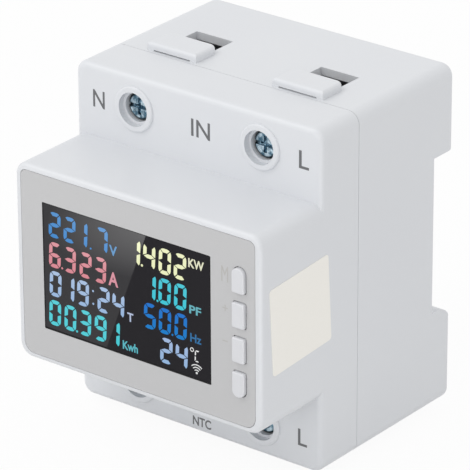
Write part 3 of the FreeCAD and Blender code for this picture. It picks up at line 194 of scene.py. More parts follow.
card_lift, card_near, card_far = 0.3, -77.5, -213.2
card_height = floor_height + card_lift
line_near, line_far = (-27.8, card_near, card_height), (-108.9, card_far, card_height)
card("black_flag", [line_near, line_far, (20.0, card_far, card_height), (20.0, card_near, card_height)],
     card_paint("black_flag_cloth", 0.0, 0.0, line_near))
card("grey_card", [line_far, line_near, (-180.0, card_near, card_height), (-180.0, card_far, card_height)],
     card_paint("grey_card_board", 2.7, 0.5, (-80.0, -185.0, card_height)))
card("edge_card_low", [(x, y, card_height) for x, y in ((70.0, -100.0), (150.0, -100.0), (150.0, -170.0),
                                                        (70.0, -170.0))],
     card_paint("edge_card_low_board", 4.5, 4.5, line_near))
card("edge_card_high", [(-460.0, -200.0, 420.0), (-300.0, -330.0, 420.0), (-250.0, -270.0, 520.0),
                        (-410.0, -140.0, 520.0)],
     card_paint("edge_card_high_board", 1.9, 1.9, line_near))


# Housing: front cover and rear base, injection moulded in pale grey ABS. The mould is spark eroded,
# which leaves a fine even grain and a satin shine; the grain is drawn 0.35 mm wide, so that it shows.
def new_finish(name, **sockets):
    """Material with one Principled shader. Values that are the same all over stand on its own sockets.
    Returns the material, its node tree, the shader and the Object coordinates that its patterns lie on."""
    finish = bpy.data.materials.new(name)
    finish.use_nodes = True
    tree = finish.node_tree
    shader = tree.nodes["Principled BSDF"]
    for socket, value in sockets.items():
        shader.inputs[socket.replace("_", " ")].default_value = value
    return finish, tree, shader, add(tree, "ShaderNodeTexCoord").outputs["Object"]


def feed(tree, shader, **sources):
    """Links outputs to the shader's sockets, whose names are written with _ for a space."""
    for socket, source in sources.items():
        tree.links.new(source, shader.inputs[socket.replace("_", " ")])


def dress(finish, *names):
    """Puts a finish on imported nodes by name."""
    for name in names:
        for place in nodes[name].material_slots:
            place.material = finish


def moulded_plastic(name, tone, shade, grain, depth, low, high):
    """Plastic from an eroded mould: the colour drifts from tone to shade over 30 mm, the grain has a width
    and a depth in mm, and the roughness varies from low to high with it."""
    finish, tree, shader, place = new_finish(name, IOR=1.5)
    drift = add(tree, "ShaderNodeTexNoise", {"Vector": place, "Scale": 33.0, "Detail": 1.0})
    colour = add(tree, "ShaderNodeMix", {0: drift.outputs["Fac"], 6: tone, 7: shade}, data_type="RGBA")
    pits = add(tree, "ShaderNodeTexNoise", {"Vector": place, "Scale": 1.0 / (grain * MM), "Detail": 2.0})
    pit = pits.outputs["Fac"]
    rough = add(tree, "ShaderNodeMapRange",
                {"Value": pit, "From Min": 0.3, "From Max": 0.7, "To Min": low, "To Max": high})
    relief = add(tree, "ShaderNodeBump", {"Height": pit, "Strength": 0.6, "Distance": depth * MM})
    feed(tree, shader, Base_Color=colour.outputs[2], Roughness=rough.outputs[0], Normal=relief.outputs[0])
    return finish


housing_abs = moulded_plastic("moulded_abs_pale_grey", "#dfe1e4", "#dcdee2", 0.35, 0.012, 0.34, 0.44)
dress(housing_abs, "front_cover", "rear_base")


# Face plate: a 0.6 mm polycarbonate sheet, screen printed grey behind its fine matt surface and
# glued into the nose's recess. The matt grain is 0.25 mm wide.
plate_sheet = moulded_plastic("printed_polycarbonate_grey", "#c5c5c6", "#c2c2c3", 0.25, 0.006, 0.42, 0.5)
dress(plate_sheet, "face_plate")


# Keys: four caps in the housing's ABS, from a finer mould, so a little smoother. Each rides on its own
# slide, with the black nylon plunger of its switch behind it.
key_abs = moulded_plastic("moulded_abs_keys", "#dddee1", "#dadbdf", 0.25, 0.006, 0.3, 0.38)
dress(key_abs, "button_mode", "button_plus", "button_minus", "button_set")
switch_nylon = moulded_plastic("moulded_nylon_black", "#2c2c2e", "#262628", 0.3, 0.01, 0.4, 0.55)
dress(switch_nylon, "tact_switches", "switch_plunger_mode", "switch_plunger_plus", "switch_plunger_minus",
      "switch_plunger_set")


# Display glass: one pane of smoked acrylic, polished, with the panel bonded to its back, so the
# figures lie at its surface. A lip behind the nose's wall holds it, and a thin black gasket fills the
# gap to the face plate, wider along the bottom.
def rounded_loop(left, right, low, high, radius):
    """Points round a rectangle in X and Z, anticlockwise: a quarter circle of five points at each corner."""
    turn = np.linspace(0, math.pi / 2, 5)
    starts = np.array([math.pi, 1.5 * math.pi, 0.0, 0.5 * math.pi])[:, None]
    middles = np.array([(left + radius, low + radius), (right - radius, low + radius),
                        (right - radius, high - radius), (left + radius, high - radius)])[:, None, :]
    angles = starts + turn[None, :]
    return (middles + radius * np.stack((np.cos(angles), np.sin(angles)), axis=2)).reshape(-1, 2)


def put_on(name, mesh, finish, body):
    """Makes a mesh of one finish a piece that moves with its body."""
    mesh.materials.clear()
    mesh.materials.append(finish)
    piece = bpy.data.objects.new(name, mesh)
    scene.collection.objects.link(piece)
    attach(piece, body)
    return piece


def build(name, points, faces, body, finish):
    """Makes a piece from points in mm and faces, and puts it on its body."""
    mesh = bpy.data.meshes.new(name)
    mesh.from_pydata((np.asarray(points) * MM).tolist(), [], faces)
    return put_on(name, mesh, finish, body)


def loft(loops, depths, joined):
    """Surface through equal loops in X and Z, each at its own depth Y: either the last loop is joined to
    the first, as in a frame, or both ends are closed with a face."""
    loops = np.array(loops)
    count, around = loops.shape[:2]
    level = np.broadcast_to(np.array(depths, float)[:, None], (count, around))
    points = np.stack((loops[:, :, 0], level, loops[:, :, 1]), axis=2).reshape(-1, 3)
    first = np.arange(count if joined else count - 1)[:, None] * around
    step = np.arange(around)[None, :]
    following = (step + 1) % around
    second = (first + around) % (count * around)
    faces = np.stack((first + step, second + step, second + following, first + following), axis=2)
    faces = faces.reshape(-1, 4).tolist()
    if not joined:
        faces.append(list(range(around)))
        faces.append(list(range(count * around - 1, (count - 1) * around - 1, -1)))
    return points, faces


pane_front, lip_front, lip_back = -65.76, -63.9, -62.9
pane, lip = (-27.8, 21.5, -15.65, 16.4), (-29.1, 22.8, -16.94, 17.71)
pane_corner, polish = 0.26, 0.06
polished = (pane[0] + polish, pane[1] - polish, pane[2] + polish, pane[3] - polish)
pane_edge, lip_edge = rounded_loop(*pane, pane_corner), rounded_loop(*lip, pane_corner)
points, faces = loft([rounded_loop(*polished, 0.2), pane_edge, pane_edge, lip_edge, lip_edge],
                     [pane_front, pane_front + polish, lip_front, lip_front, lip_back], False)
smoked_acrylic, tree, shader, place = new_finish("smoked_acrylic", IOR=1.49, Base_Color=linear("#2d2c2f"))
wiping = add(tree, "ShaderNodeTexNoise", {"Vector": place, "Scale": 120.0, "Detail": 3.0, "Distortion": 0.6})
smear = add(tree, "ShaderNodeMapRange", {"Value": wiping.outputs["Fac"], "To Min": 0.012, "To Max": 0.02})
feed(tree, shader, Roughness=smear.outputs[0])
display_pane = build("display_pane", points, faces, "case", smoked_acrylic)
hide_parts("display_window")

gasket_front, gasket_back = -65.87, -65.74
seat = (-27.88, 21.58, -15.73, 16.48)
sight = (seat[0] + 0.12, seat[1] - 0.16, seat[2] + 0.34, seat[3] - 0.14)
seat_edge, sight_edge = rounded_loop(*seat, 0.28), rounded_loop(*sight, 0.1)
points, faces = loft([seat_edge, seat_edge, sight_edge, sight_edge],
                     [gasket_front, gasket_back, gasket_back, gasket_front], True)
gasket_foam = moulded_plastic("black_foam_gasket", "#0c0c0d", "#070708", 0.2, 0.02, 0.75, 0.9)
build("display_gasket", points, faces, "case", gasket_foam)


# Figures: seven-segment numerals that light up under the pane, one colour to each row. A segment is
# a bar 0.95 mm wide, cut on the slant where it meets its neighbours, 0.25 mm apart. All lean a little,
# and a one is drawn a little taller than the rest.
figure_front, figure_back = -65.81, -65.74
figure_wide, figure_tall, bar_wide, one_taller = 3.5, 6.45, 0.95, 0.27
bend_outside, bend_inside, gap, lean = 1.35, 0.35, 0.25, 0.05
stroke_points = 20
SEGMENTS = {"0": "abcdef", "1": "bc", "2": "abged", "3": "abgcd", "4": "fgbc", "5": "afgcd", "6": "afgecd",
            "7": "abc", "9": "abfgcd", "C": "aefd"}


def evenly(line):
    """Points at even steps along a line of points."""
    line = np.array(line)
    run = np.concatenate(([0.0], np.cumsum(np.hypot(*np.diff(line, axis=0).T))))
    at = np.linspace(0.0, run[-1], stroke_points)
    return np.stack((np.interp(at, run, line[:, 0]), np.interp(at, run, line[:, 1])), axis=1)


def arc(across, up, radius, start, stop):
    """Points round a centre from one angle to another, in degrees."""
    turn = np.radians(np.linspace(start, stop, 7))
    return np.stack((across + radius * np.cos(turn), up + radius * np.sin(turn)), axis=1)


def segment_edges(wide, tall, bar, outside, inside):
    """Left and right edge of each segment. The seven fill a frame with rounded corners: slants through its
    corners and slants of half a bar at its middle part them, and the level bar's points reach into those."""
    middle = tall / 2
    edges = {}
    for key, radius, inset in (("outer", outside, 0.0), ("inner", inside, bar)):
        part = math.degrees(math.asin(min(0.9, gap / 2 / radius)))
        right, high = wide - inset - radius, tall - inset - radius
        level = np.vstack((arc(inset + radius, high, radius, 135 - part, 90),
                           arc(right, high, radius, 90, 45 + part)))
        notch = (wide - inset, middle + gap / 2 + inset / 2)
        edges[key] = evenly(level), evenly(np.vstack((arc(right, high, radius, 45 - part, 0), [notch])))
    (top_outer, side_outer), (top_inner, side_inner) = edges["outer"], edges["inner"]

    def flip_up(edge):
        return edge * (1, -1) + (0, tall)

    def flip_across(edge):
        return edge * (-1, 1) + (wide, 0)

    tips = np.linspace(gap, wide - gap, stroke_points)
    rise = np.clip(np.minimum(tips - gap, wide - gap - tips) / 2, 0.02, bar / 2)
    return {
        "a": (top_outer, top_inner),
        "b": (side_outer, side_inner),
        "c": (flip_up(side_inner), flip_up(side_outer)),
        "d": (flip_up(top_inner), flip_up(top_outer)),
        "e": (flip_across(flip_up(side_outer)), flip_across(flip_up(side_inner))),
        "f": (flip_across(side_inner), flip_across(side_outer)),
        "g": (np.stack((tips, middle + rise), axis=1), np.stack((tips, middle - rise), axis=1)),
    }


def strokes(edges, front, back):
    """Raised strokes between pairs of edges: each pair of points gives a rectangle from front to back, and
    the rectangles are joined along the stroke and closed at its ends."""
    left, right = np.array([pair[0] for pair in edges]), np.array([pair[1] for pair in edges])
    corners = np.stack((left, right, right, left), axis=2)
    depth = np.broadcast_to(np.array([front, front, back, back], float), corners.shape[:3])
    points = np.stack((corners[..., 0], depth, corners[..., 1]), axis=3).reshape(-1, 3)
    bars, count = left.shape[:2]
    start = (np.arange(bars) * count * 4)[:, None, None] + (np.arange(count - 1) * 4)[None, :, None]
    side = np.arange(4)[None, None, :]
    after = (side + 1) % 4
    walls = np.stack((start + side, start + after, start + 4 + after, start + 4 + side), axis=3)
    first = (np.arange(bars) * count * 4)[:, None]
    last = first + (count - 1) * 4
    caps = np.vstack((first + np.array([[0, 3, 2, 1]]), last + np.array([[0, 1, 2, 3]])))
    return points, np.vstack((walls.reshape(-1, 4), caps)).tolist()


def numeral(sign, left, low, wide=figure_wide, tall=figure_tall, bar=bar_wide, outside=bend_outside,
            inside=bend_inside):
    """Edges of one numeral's segments, leaning to the right with height, at its place."""
    shapes = segment_edges(wide, tall, bar, outside, inside)

    def placed(edge):
        return np.stack((edge[:, 0] + lean * edge[:, 1] + left, edge[:, 1] + low), axis=1)

    return [(placed(shapes[segment][0]), placed(shapes[segment][1])) for segment in SEGMENTS[sign]]


def band(line, half):
    """Edges half a width to either side of a line of points; the half width may change along it."""
    along = np.gradient(line, axis=0)
    along /= np.linalg.norm(along, axis=1, keepdims=True)
    aside = np.stack((-along[:, 1], along[:, 0]), axis=1) * np.reshape(half, (-1, 1))
    return line + aside, line - aside


def dot(across, up, radius):
    """A round dot as a stroke: its half width follows the circle."""
    turn = np.linspace(0.1, math.pi - 0.1, stroke_points)
    line = np.stack((across - radius * np.cos(turn), np.full(stroke_points, float(up))), axis=1)
    return band(line, radius * np.sin(turn))


def printed_word(name, words, across, up, front, back, body, finish, bolder):
    """Flat letters from the built-in sans serif, made bolder by a share of their size and fitted to a box."""
    curve = bpy.data.curves.new(name, "FONT")
    curve.body = words
    curve.extrude = 0.5
    curve.offset = bolder
    written = bpy.data.objects.new(name + "_curve", curve)
    scene.collection.objects.link(written)
    bpy.context.view_layer.update()
    mesh = bpy.data.meshes.new_from_object(written.evaluated_get(bpy.context.evaluated_depsgraph_get()))
    bpy.data.objects.remove(written)
    flat = np.empty(len(mesh.vertices) * 3)
    mesh.vertices.foreach_get("co", flat)
    flat = flat.reshape(-1, 3)
    lowest, highest = flat.min(axis=0), flat.max(axis=0)
    share = (flat - lowest) / (highest - lowest)
    placed = np.stack((across[0] + share[:, 0] * (across[1] - across[0]),
                       back + share[:, 2] * (front - back),
                       up[0] + share[:, 1] * (up[1] - up[0])), axis=1) * MM
    mesh.vertices.foreach_set("co", placed.ravel())
    mesh.update()
    put_on(name, mesh, finish, body)


def lit_segments(name, upper, lower, low, high):
    """Light that comes through a coloured filter: its colour goes from lower to upper between two heights."""
    finish, tree, shader, place = new_finish(name, IOR=1.49, Roughness=0.06, Emission_Strength=1.0,
                                             Base_Color=(0.004, 0.004, 0.004, 1.0))
    height = add(tree, "ShaderNodeSeparateXYZ", {0: place}).outputs[2]
    rise = add(tree, "ShaderNodeMapRange", {"Value": height, "From Min": low * MM, "From Max": high * MM})
    tint = add(tree, "ShaderNodeMix", {0: rise.outputs[0], 6: lower, 7: upper}, data_type="RGBA")
    feed(tree, shader, Emission_Color=tint.outputs[2])
    return finish


# A row: its name, its foot's height, its upper and lower colour, its numerals and their left sides, its
# point's place and radius, and its unit's letters, place across and up, and colour.
ROWS = [
    ("volts", 8.28, "#4d8dca", "#3482c7", "2217", (-26.2, -21.72, -18.15, -12.12),
     (-13.55, 8.6, 0.24), "V", (-8.0, -5.7), (8.6, 11.15), "#5790c2"),
    ("amps", 0.62, "#da939c", "#d6848f", "6323", (-26.32, -21.82, -17.1, -12.75),
     (-22.3, 1.15, 0.26), "A", (-8.4, -5.55), (0.9, 4.4), "#d7919e"),
    ("time", -6.75, "#a7bede", "#96b4da", "01924", (-26.34, -22.44, -18.07, -11.89, -7.52),
     None, "T", (-2.95, -1.2), (-6.7, -4.5), "#b3bfda"),
    ("energy", -14.25, "#52cbd5", "#49c9d3", "00391", (-26.67, -22.05, -17.58, -12.97, -9.02),
     (-18.2, -13.85, 0.28), "Kwh", (-4.45, 0.0), (-14.25, -12.05), "#5fb7c3"),
    ("power", 8.13, "#f1f4c8", "#ecf0c1", "1402", (-2.55, 1.85, 6.41, 10.81),
     (1.6, 8.6, 0.3), "KW", (15.15, 19.6), (12.02, 14.27), "#e5e5c9"),
    ("factor", 0.6, "#50c7d7", "#44c5d6", "100", (1.87, 6.26, 10.8),
     (6.05, 0.95, 0.28), "PF", (15.3, 18.7), (0.57, 2.65), "#6ab0bb"),
    ("hertz", -6.82, "#2974cb", "#217dc7", "500", (1.83, 6.23, 10.85),
     (10.3, -6.4, 0.26), "Hz", (15.5, 18.7), (-6.5, -4.35), "#3971a2"),
    ("degrees", -14.27, "#a4bade", "#93b4da", "24", (6.55, 11.0), None, None, None, None, None),
]
colon = [dot(-13.1, -5.3, 0.26), dot(-13.1, -2.05, 0.26)]
for name, foot, upper, lower, signs, lefts, point, unit, unit_across, unit_up, unit_tone in ROWS:
    finish = lit_segments(f"lit_filter_{name}", upper, lower, foot, foot + figure_tall)
    edges = []
    for sign, left in zip(signs, lefts):
        taller = one_taller if sign == "1" else 0.0
        edges += numeral(sign, left, foot - taller, tall=figure_tall + 2 * taller)
    if point:
        edges.append(dot(*point))
    if name == "time":
        edges += colon
    points, faces = strokes(edges, figure_front, figure_back)
    build(f"figures_{name}", points, faces, "case", finish)
    if unit:
        unit_finish = lit_segments(f"lit_filter_{name}_unit", unit_tone, unit_tone, *unit_up)
        printed_word(f"unit_{name}", unit, unit_across, unit_up, figure_front, figure_back, "case",
                     unit_finish, 0.02)


# Signs beside the temperature: a degree ring, a letter C of segments, and the fan of waves over a dot
# that says the radio is on. They lie under the pane as the figures do, and light up white.
white_light = lit_segments("lit_filter_white", "#f4f4f4", "#dadcdc", -14.2, -8.0)
edges = numeral("C", 16.72, -11.2, 1.36, 2.9, 0.28, 0.4, 0.15)
fan_across, fan_up, wave_half = 17.3, -14.1, 0.12
sweep = np.linspace(0.26 * math.pi, 0.74 * math.pi, stroke_points)
for radius in (0.85, 1.5, 2.15):
    wave = np.stack((fan_across - radius * np.cos(sweep), fan_up + radius * np.sin(sweep)), axis=1)
    edges.append(band(wave, wave_half))
edges.append(dot(fan_across, -14.0, 0.28))
points, faces = strokes(edges, figure_front, figure_back)
build("sign_celsius_and_radio", points, faces, "case", white_light)
turn = np.linspace(0, 2 * math.pi, 32, endpoint=False)
circle, degree_place = np.stack((np.cos(turn), np.sin(turn)), axis=1), np.array([15.97, -8.45])
points, faces = loft([radius * circle + degree_place for radius in (0.53, 0.53, 0.37, 0.37)],
                     [figure_front, figure_back, figure_back, figure_front], True)
build("sign_degree_ring", points, faces, "case", white_light)


# Printed marks: the terminals' letters, pad printed in dark grey ink 0.02 mm thick on the cover, and
# the keys' signs, faint and glossy on the face plate. Ink takes a slightly broken edge and surface.
def printed_ink(name, tone, shade):
    """Pad printing ink: two close greys in specks of 0.4 mm, and a soft shine."""
    finish, tree, shader, place = new_finish(name, IOR=1.5)
    specks = add(tree, "ShaderNodeTexNoise", {"Vector": place, "Scale": 2500.0, "Detail": 3.0})
    ink = add(tree, "ShaderNodeMix", {0: specks.outputs["Fac"], 6: tone, 7: shade}, data_type="RGBA")
    rough = add(tree, "ShaderNodeMapRange", {"Value": specks.outputs["Fac"], "To Min": 0.4, "To Max": 0.6})
    feed(tree, shader, Base_Color=ink.outputs[2], Roughness=rough.outputs[0])
    return finish


dark_ink = printed_ink("pad_printing_ink_grey", "#6e6f71", "#646567")
cover_front, ink_thick = -43.4, 0.02
for name, words, across, up, bolder in [
        ("neutral_in", "N", (-30.79, -27.3), (32.2, 36.55), 0.008),
        ("in", "IN", (-1.62, 3.88), (32.3, 36.6), 0.008),
        ("line_in", "L", (29.42, 32.25), (32.4, 36.8), 0.008),
        ("probe", "NTC", (-1.95, 3.55), (-41.95, -39.55), 0.022),
        ("neutral_out", "N", (-30.79, -27.3), (-37.7, -33.4), 0.008),
        ("line_out", "L", (29.25, 31.87), (-37.7, -33.4), 0.008)]:
    printed_word(f"mark_{name}", words, across, up, cover_front - ink_thick, cover_front + ink_thick, "case",
                 dark_ink, bolder)
faint_ink = printed_ink("printing_ink_faint", "#bbb9b6", "#b6b5b3")
sign_front, sign_back = -65.915, -65.88
for name, words, across, up in [("mode", "M", (24.68, 26.64), (11.35, 15.2)),
                                ("plus", "+", (24.95, 26.5), (4.1, 5.7)),
                                ("minus", "-", (24.95, 26.4), (-3.5, -3.2))]:
    printed_word(f"sign_{name}", words, across, up, sign_front, sign_back, "case", faint_ink,
                 0.0)


# Sticker: a square of coated cream paper, left blank, stuck on the right side a little askew.
# Fibres 0.6 mm apart and 1.6 mm long show through the coating.
label_paper, tree, shader, place = new_finish("coated_paper_cream", IOR=1.45)
stretched = add(tree, "ShaderNodeMapping", {"Vector": place, "Scale": (1.0, 0.35, 1.0)})
fibres = add(tree, "ShaderNodeTexNoise",
             {"Vector": stretched.outputs[0], "Scale": 1800.0, "Detail": 4.0, "Roughness": 0.6})
fibre = fibres.outputs["Fac"]
cream = add(tree, "ShaderNodeMix", {0: fibre, 6: "#f9f6f0", 7: "#f5f3ec"}, data_type="RGBA")
fibre_rough = add(tree, "ShaderNodeMapRange", {"Value": fibre, "To Min": 0.5, "To Max": 0.7})
fibre_relief = add(tree, "ShaderNodeBump", {"Height": fibre, "Strength": 0.35, "Distance": 0.01 * MM})
feed(tree, shader, Base_Color=cream.outputs[2], Roughness=fibre_rough.outputs[0],
     Normal=fibre_relief.outputs[0])
dress(label_paper, "side_label")


# Terminals: cross and slot pan heads, cold headed in steel and blue zinc plated, each in a folded steel
# cage. The plating is cloudy over 1 mm. A head's face is uneven, with pale flecks that are painted glints,
# fine rings 0.35 mm apart round its axis, and painted shade on its rolled edge where it meets its bore.
TERMINALS = {"neutral_in": (-18.4, 34.6), "line_in": (18.4, 34.6), "neutral_out": (-18.4, -35.4),
             "line_out": (18.4, -35.4)}
# Radii in mm where a head's painted rim shadow begins and where it is full.
rim_shade_start, rim_shade_end = 2.65, 3.0


def plated_steel(name, tone, shade, low, high, axis=None):
    """Zinc plated steel: clouds from tone to shade, as rough as low to high. On a head, whose axis is given,
    the clouds are pale flecks that are painted glints, and rings, dents and a painted shadow round its edge
    come on top."""
    finish, tree, shader, place = new_finish(name, Metallic=1.0)
    clouds = add(tree, "ShaderNodeTexNoise", {"Vector": place, "Scale": 900.0, "Detail": 3.0})
    height, dent = clouds.outputs["Fac"], 0.01
    # On a head the clouds part sharply into pale flecks: painted glints.
    tone_until, shade_from = (0.4, 0.62) if axis else (0.0, 1.0)
    plating_clouds_and_painted_glints = add(tree, "ShaderNodeMapRange", {"Value": height, "From Min": tone_until, "From Max": shade_from})
    tint = add(tree, "ShaderNodeMix", {0: plating_clouds_and_painted_glints.outputs[0], 6: tone, 7: shade}, data_type="RGBA").outputs[2]
    rough = add(tree, "ShaderNodeMapRange",
                {"Value": height, "From Min": 0.3, "From Max": 0.7, "To Min": low, "To Max": high})
    if axis:
        to_axis = (-axis[0] * MM, 0.0, -axis[1] * MM)
        centred = add(tree, "ShaderNodeMapping",
                      {"Vector": place, "Location": to_axis, "Scale": (1.0, 0.0, 1.0)}).outputs[0]
        rings = add(tree, "ShaderNodeTexWave", {"Vector": centred, "Scale": 900.0, "Distortion": 0.4},
                    wave_type="RINGS", rings_direction="Y")
        fine = add(tree, "ShaderNodeMath", {0: rings.outputs["Fac"], 1: 0.15}, operation="MULTIPLY")
        dents = add(tree, "ShaderNodeTexNoise",
                    {"Vector": place, "Scale": 550.0, "Detail": 1.0, "Distortion": 1.5})
        uneven = add(tree, "ShaderNodeMath", {0: dents.outputs["Fac"], 1: fine.outputs[0]}, operation="ADD")
        height, dent = uneven.outputs[0], 0.35
        # Painted shadow: the head darkens towards its rim, where it meets its bore.
        reach = add(tree, "ShaderNodeVectorMath", {0: centred}, operation="LENGTH").outputs["Value"]
        edge = add(tree, "ShaderNodeMapRange",
                   {"Value": reach, "From Min": rim_shade_start * MM, "From Max": rim_shade_end * MM})
        rim_shaded = add(tree, "ShaderNodeMix", {0: edge.outputs[0], 6: tint, 7: "#2c3d47"}, data_type="RGBA")
        tint = rim_shaded.outputs[2]
    relief = add(tree, "ShaderNodeBump", {"Height": height, "Strength": 0.6, "Distance": dent * MM})
    feed(tree, shader, Base_Color=tint, Roughness=rough.outputs[0], Normal=relief.outputs[0])
    return finish


# Each head: blue plating with pale flecks of painted glint, and a painted shadow round its rim.
for name, axis in TERMINALS.items():
    dress(plated_steel(f"blue_zinc_steel_{name}", "#557688", "#cfe3ee", 0.12, 0.22, axis), f"screw_{name}")
cage_steel = plated_steel("zinc_plated_sheet_steel", "#c3c6c9", "#aeb2b6", 0.3, 0.45)
dress(cage_steel, *[f"cage_{name}" for name in TERMINALS])


# Current path: bars of rolled brass with a fine grain along them, a coppery resistance alloy between
# them as the shunt, and a sealed relay in a black case with its posts and its coil, whose turns of
# enamelled copper wire lie 0.45 mm apart.
def rolled_metal(name, tone, shade, low, high):
    """Rolled and stamped metal: the grain runs along Z, 0.15 mm wide and 6 mm long, with soft tarnish."""
    finish, tree, shader, place = new_finish(name, Metallic=1.0)
    drawn = add(tree, "ShaderNodeMapping", {"Vector": place, "Scale": (1.0, 1.0, 0.025)})
    grain = add(tree, "ShaderNodeTexNoise", {"Vector": drawn.outputs[0], "Scale": 6500.0, "Detail": 2.0})
    tarnish = add(tree, "ShaderNodeTexNoise", {"Vector": place, "Scale": 260.0, "Detail": 4.0})
    colour = add(tree, "ShaderNodeMix", {0: tarnish.outputs["Fac"], 6: tone, 7: shade}, data_type="RGBA")
    rough = add(tree, "ShaderNodeMapRange", {"Value": tarnish.outputs["Fac"], "To Min": low, "To Max": high})
    relief = add(tree, "ShaderNodeBump",
                 {"Height": grain.outputs["Fac"], "Strength": 0.4, "Distance": 0.008 * MM})
    feed(tree, shader, Base_Color=colour.outputs[2], Roughness=rough.outputs[0], Normal=relief.outputs[0])
    return finish


brass = rolled_metal("rolled_brass", "#d8b96a", "#c39f52", 0.22, 0.38)
dress(brass, "neutral_busbar", "line_busbar_in", "line_busbar_out", "relay_blade", "relay_posts",
      "sense_pins")
manganin = rolled_metal("rolled_manganin", "#b98f70", "#a37a5c", 0.3, 0.45)
dress(manganin, "current_shunt")
relay_shell = moulded_plastic("moulded_polyester_black", "#2a2c30", "#232529", 0.3, 0.01, 0.35, 0.5)
dress(relay_shell, "relay_case")
coil_wire, tree, shader, place = new_finish("enamelled_copper_winding", Metallic=0.6, IOR=1.5,
                                            Coat_Weight=0.5, Coat_Roughness=0.15)
turns = add(tree, "ShaderNodeTexWave", {"Vector": place, "Scale": 700.0, "Distortion": 0.3},
            wave_type="BANDS", bands_direction="Z").outputs["Fac"]
wire = add(tree, "ShaderNodeMix", {0: turns, 6: "#7a3418", 7: "#c4682f"}, data_type="RGBA")
wire_rough = add(tree, "ShaderNodeMapRange", {"Value": turns, "To Min": 0.45, "To Max": 0.25})
wire_relief = add(tree, "ShaderNodeBump", {"Height": turns, "Strength": 0.8, "Distance": 0.08 * MM})
feed(tree, shader, Base_Color=wire.outputs[2], Roughness=wire_rough.outputs[0], Normal=wire_relief.outputs[0])
dress(coil_wire, "relay_coil")


# Display stack behind the pane: the colour panel's dark glass, with its cells in rows 0.5 mm apart,
# drawn coarse so that they show, and the white moulded frame of its backlight.
panel_glass, tree, shader, place = new_finish("display_panel_glass", IOR=1.52)
cells = add(tree, "ShaderNodeTexBrick", {"Vector": place, "Scale": 500.0, "Color1": "#151618",
                                         "Color2": "#1a1b1e", "Mortar": "#0c0c0e", "Mortar Size": 0.02})
haze = add(tree, "ShaderNodeTexNoise", {"Vector": place, "Scale": 300.0})
haze_rough = add(tree, "ShaderNodeMapRange", {"Value": haze.outputs["Fac"], "To Min": 0.08, "To Max": 0.16})
feed(tree, shader, Base_Color=cells.outputs["Color"], Roughness=haze_rough.outputs[0])
dress(panel_glass, "lcd_panel")
backlight_white = moulded_plastic("moulded_polycarbonate_white", "#f0f0ec", "#e9e9e4", 0.3, 0.006, 0.3, 0.4)
dress(backlight_white, "lcd_backlight")


# Circuit boards: green solder mask over copper tracks on glass laminate, with raw yellowish edges, each
# fixed with small plated screws. Tracks lie 0.9 mm apart and stand 0.035 mm proud under the mask.
white, black, between = (1.0, 1.0, 1.0, 1.0), (0.0, 0.0, 0.0, 1.0), (0.5, 0.5, 0.5, 1.0)
board_mask, tree, shader, place = new_finish("solder_mask_green", IOR=1.55, Coat_Weight=0.3,
                                             Coat_Roughness=0.12)
turned = add(tree, "ShaderNodeMapping", {"Vector": place, "Rotation": (math.pi / 2, 0.0, 0.0)})
tracks = add(tree, "ShaderNodeTexBrick", {"Vector": turned.outputs[0], "Scale": 300.0, "Color1": white,
                                          "Color2": black, "Mortar": between, "Mortar Size": 0.06,
                                          "Brick Width": 1.7, "Row Height": 0.26}).outputs["Color"]
vias = add(tree, "ShaderNodeTexVoronoi", {"Vector": turned.outputs[0], "Scale": 260.0})
hole = add(tree, "ShaderNodeMapRange", {"Value": vias.outputs["Distance"], "From Min": 0.1, "From Max": 0.13})
mask = add(tree, "ShaderNodeMix", {0: tracks, 6: "#0f5a34", 7: "#1c7a48"}, data_type="RGBA")
dotted = add(tree, "ShaderNodeMix", {0: hole.outputs[0], 6: "#c8c2a4", 7: mask.outputs[2]}, data_type="RGBA")
normal = add(tree, "ShaderNodeNewGeometry").outputs["True Normal"]
facing = add(tree, "ShaderNodeSeparateXYZ", {0: normal}).outputs[1]
flat_side = add(tree, "ShaderNodeMath", {0: facing}, operation="ABSOLUTE")
is_face = add(tree, "ShaderNodeMath", {0: flat_side.outputs[0], 1: 0.7}, operation="GREATER_THAN").outputs[0]
board_tone = add(tree, "ShaderNodeMix", {0: is_face, 6: "#b9b27a", 7: dotted.outputs[2]}, data_type="RGBA")
board_rough = add(tree, "ShaderNodeMapRange", {"Value": is_face, "To Min": 0.8, "To Max": 0.35})
track_relief = add(tree, "ShaderNodeBump", {"Height": tracks, "Strength": 0.5, "Distance": 0.035 * MM})
feed(tree, shader, Base_Color=board_tone.outputs[2], Roughness=board_rough.outputs[0],
     Normal=track_relief.outputs[0])
dress(board_mask, "display_board", "main_board")
small_screws = plated_steel("zinc_steel_small_screws", "#cdd0d2", "#b4b8bb", 0.25, 0.4)
dress(small_screws, "display_screws", "board_screws")


# Radio module: a small board that stands on the display board, with a shield can of tinned sheet steel
# soldered on it. The tin has a soft, slightly cloudy shine.
shield_tin = plated_steel("tinned_sheet_steel", "#d2d2cf", "#bdbdb9", 0.22, 0.36)
dress(shield_tin, "radio_module")


# Pin header and probe socket: moulded insulators with square gold plated pins. The header's two strips
# are 2.55 mm thick, and what lies between them is pin. The socket shows its cream nylon alone.
def middle_and_half(name, axis):
    """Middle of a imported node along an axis, and half its reach there, in metres."""
    low, high = (corner[axis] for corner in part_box(name))
    return (low + high) / 2, (high - low) / 2


def compared(tree, value, middle, test, limit):
    """1 where a value lies nearer to its middle than a limit, for the test LESS_THAN, or further away."""
    aside = add(tree, "ShaderNodeMath", {0: value, 1: middle}, operation="SUBTRACT")
    away = add(tree, "ShaderNodeMath", {0: aside.outputs[0]}, operation="ABSOLUTE")
    return add(tree, "ShaderNodeMath", {0: away.outputs[0], 1: limit}, operation=test).outputs[0]


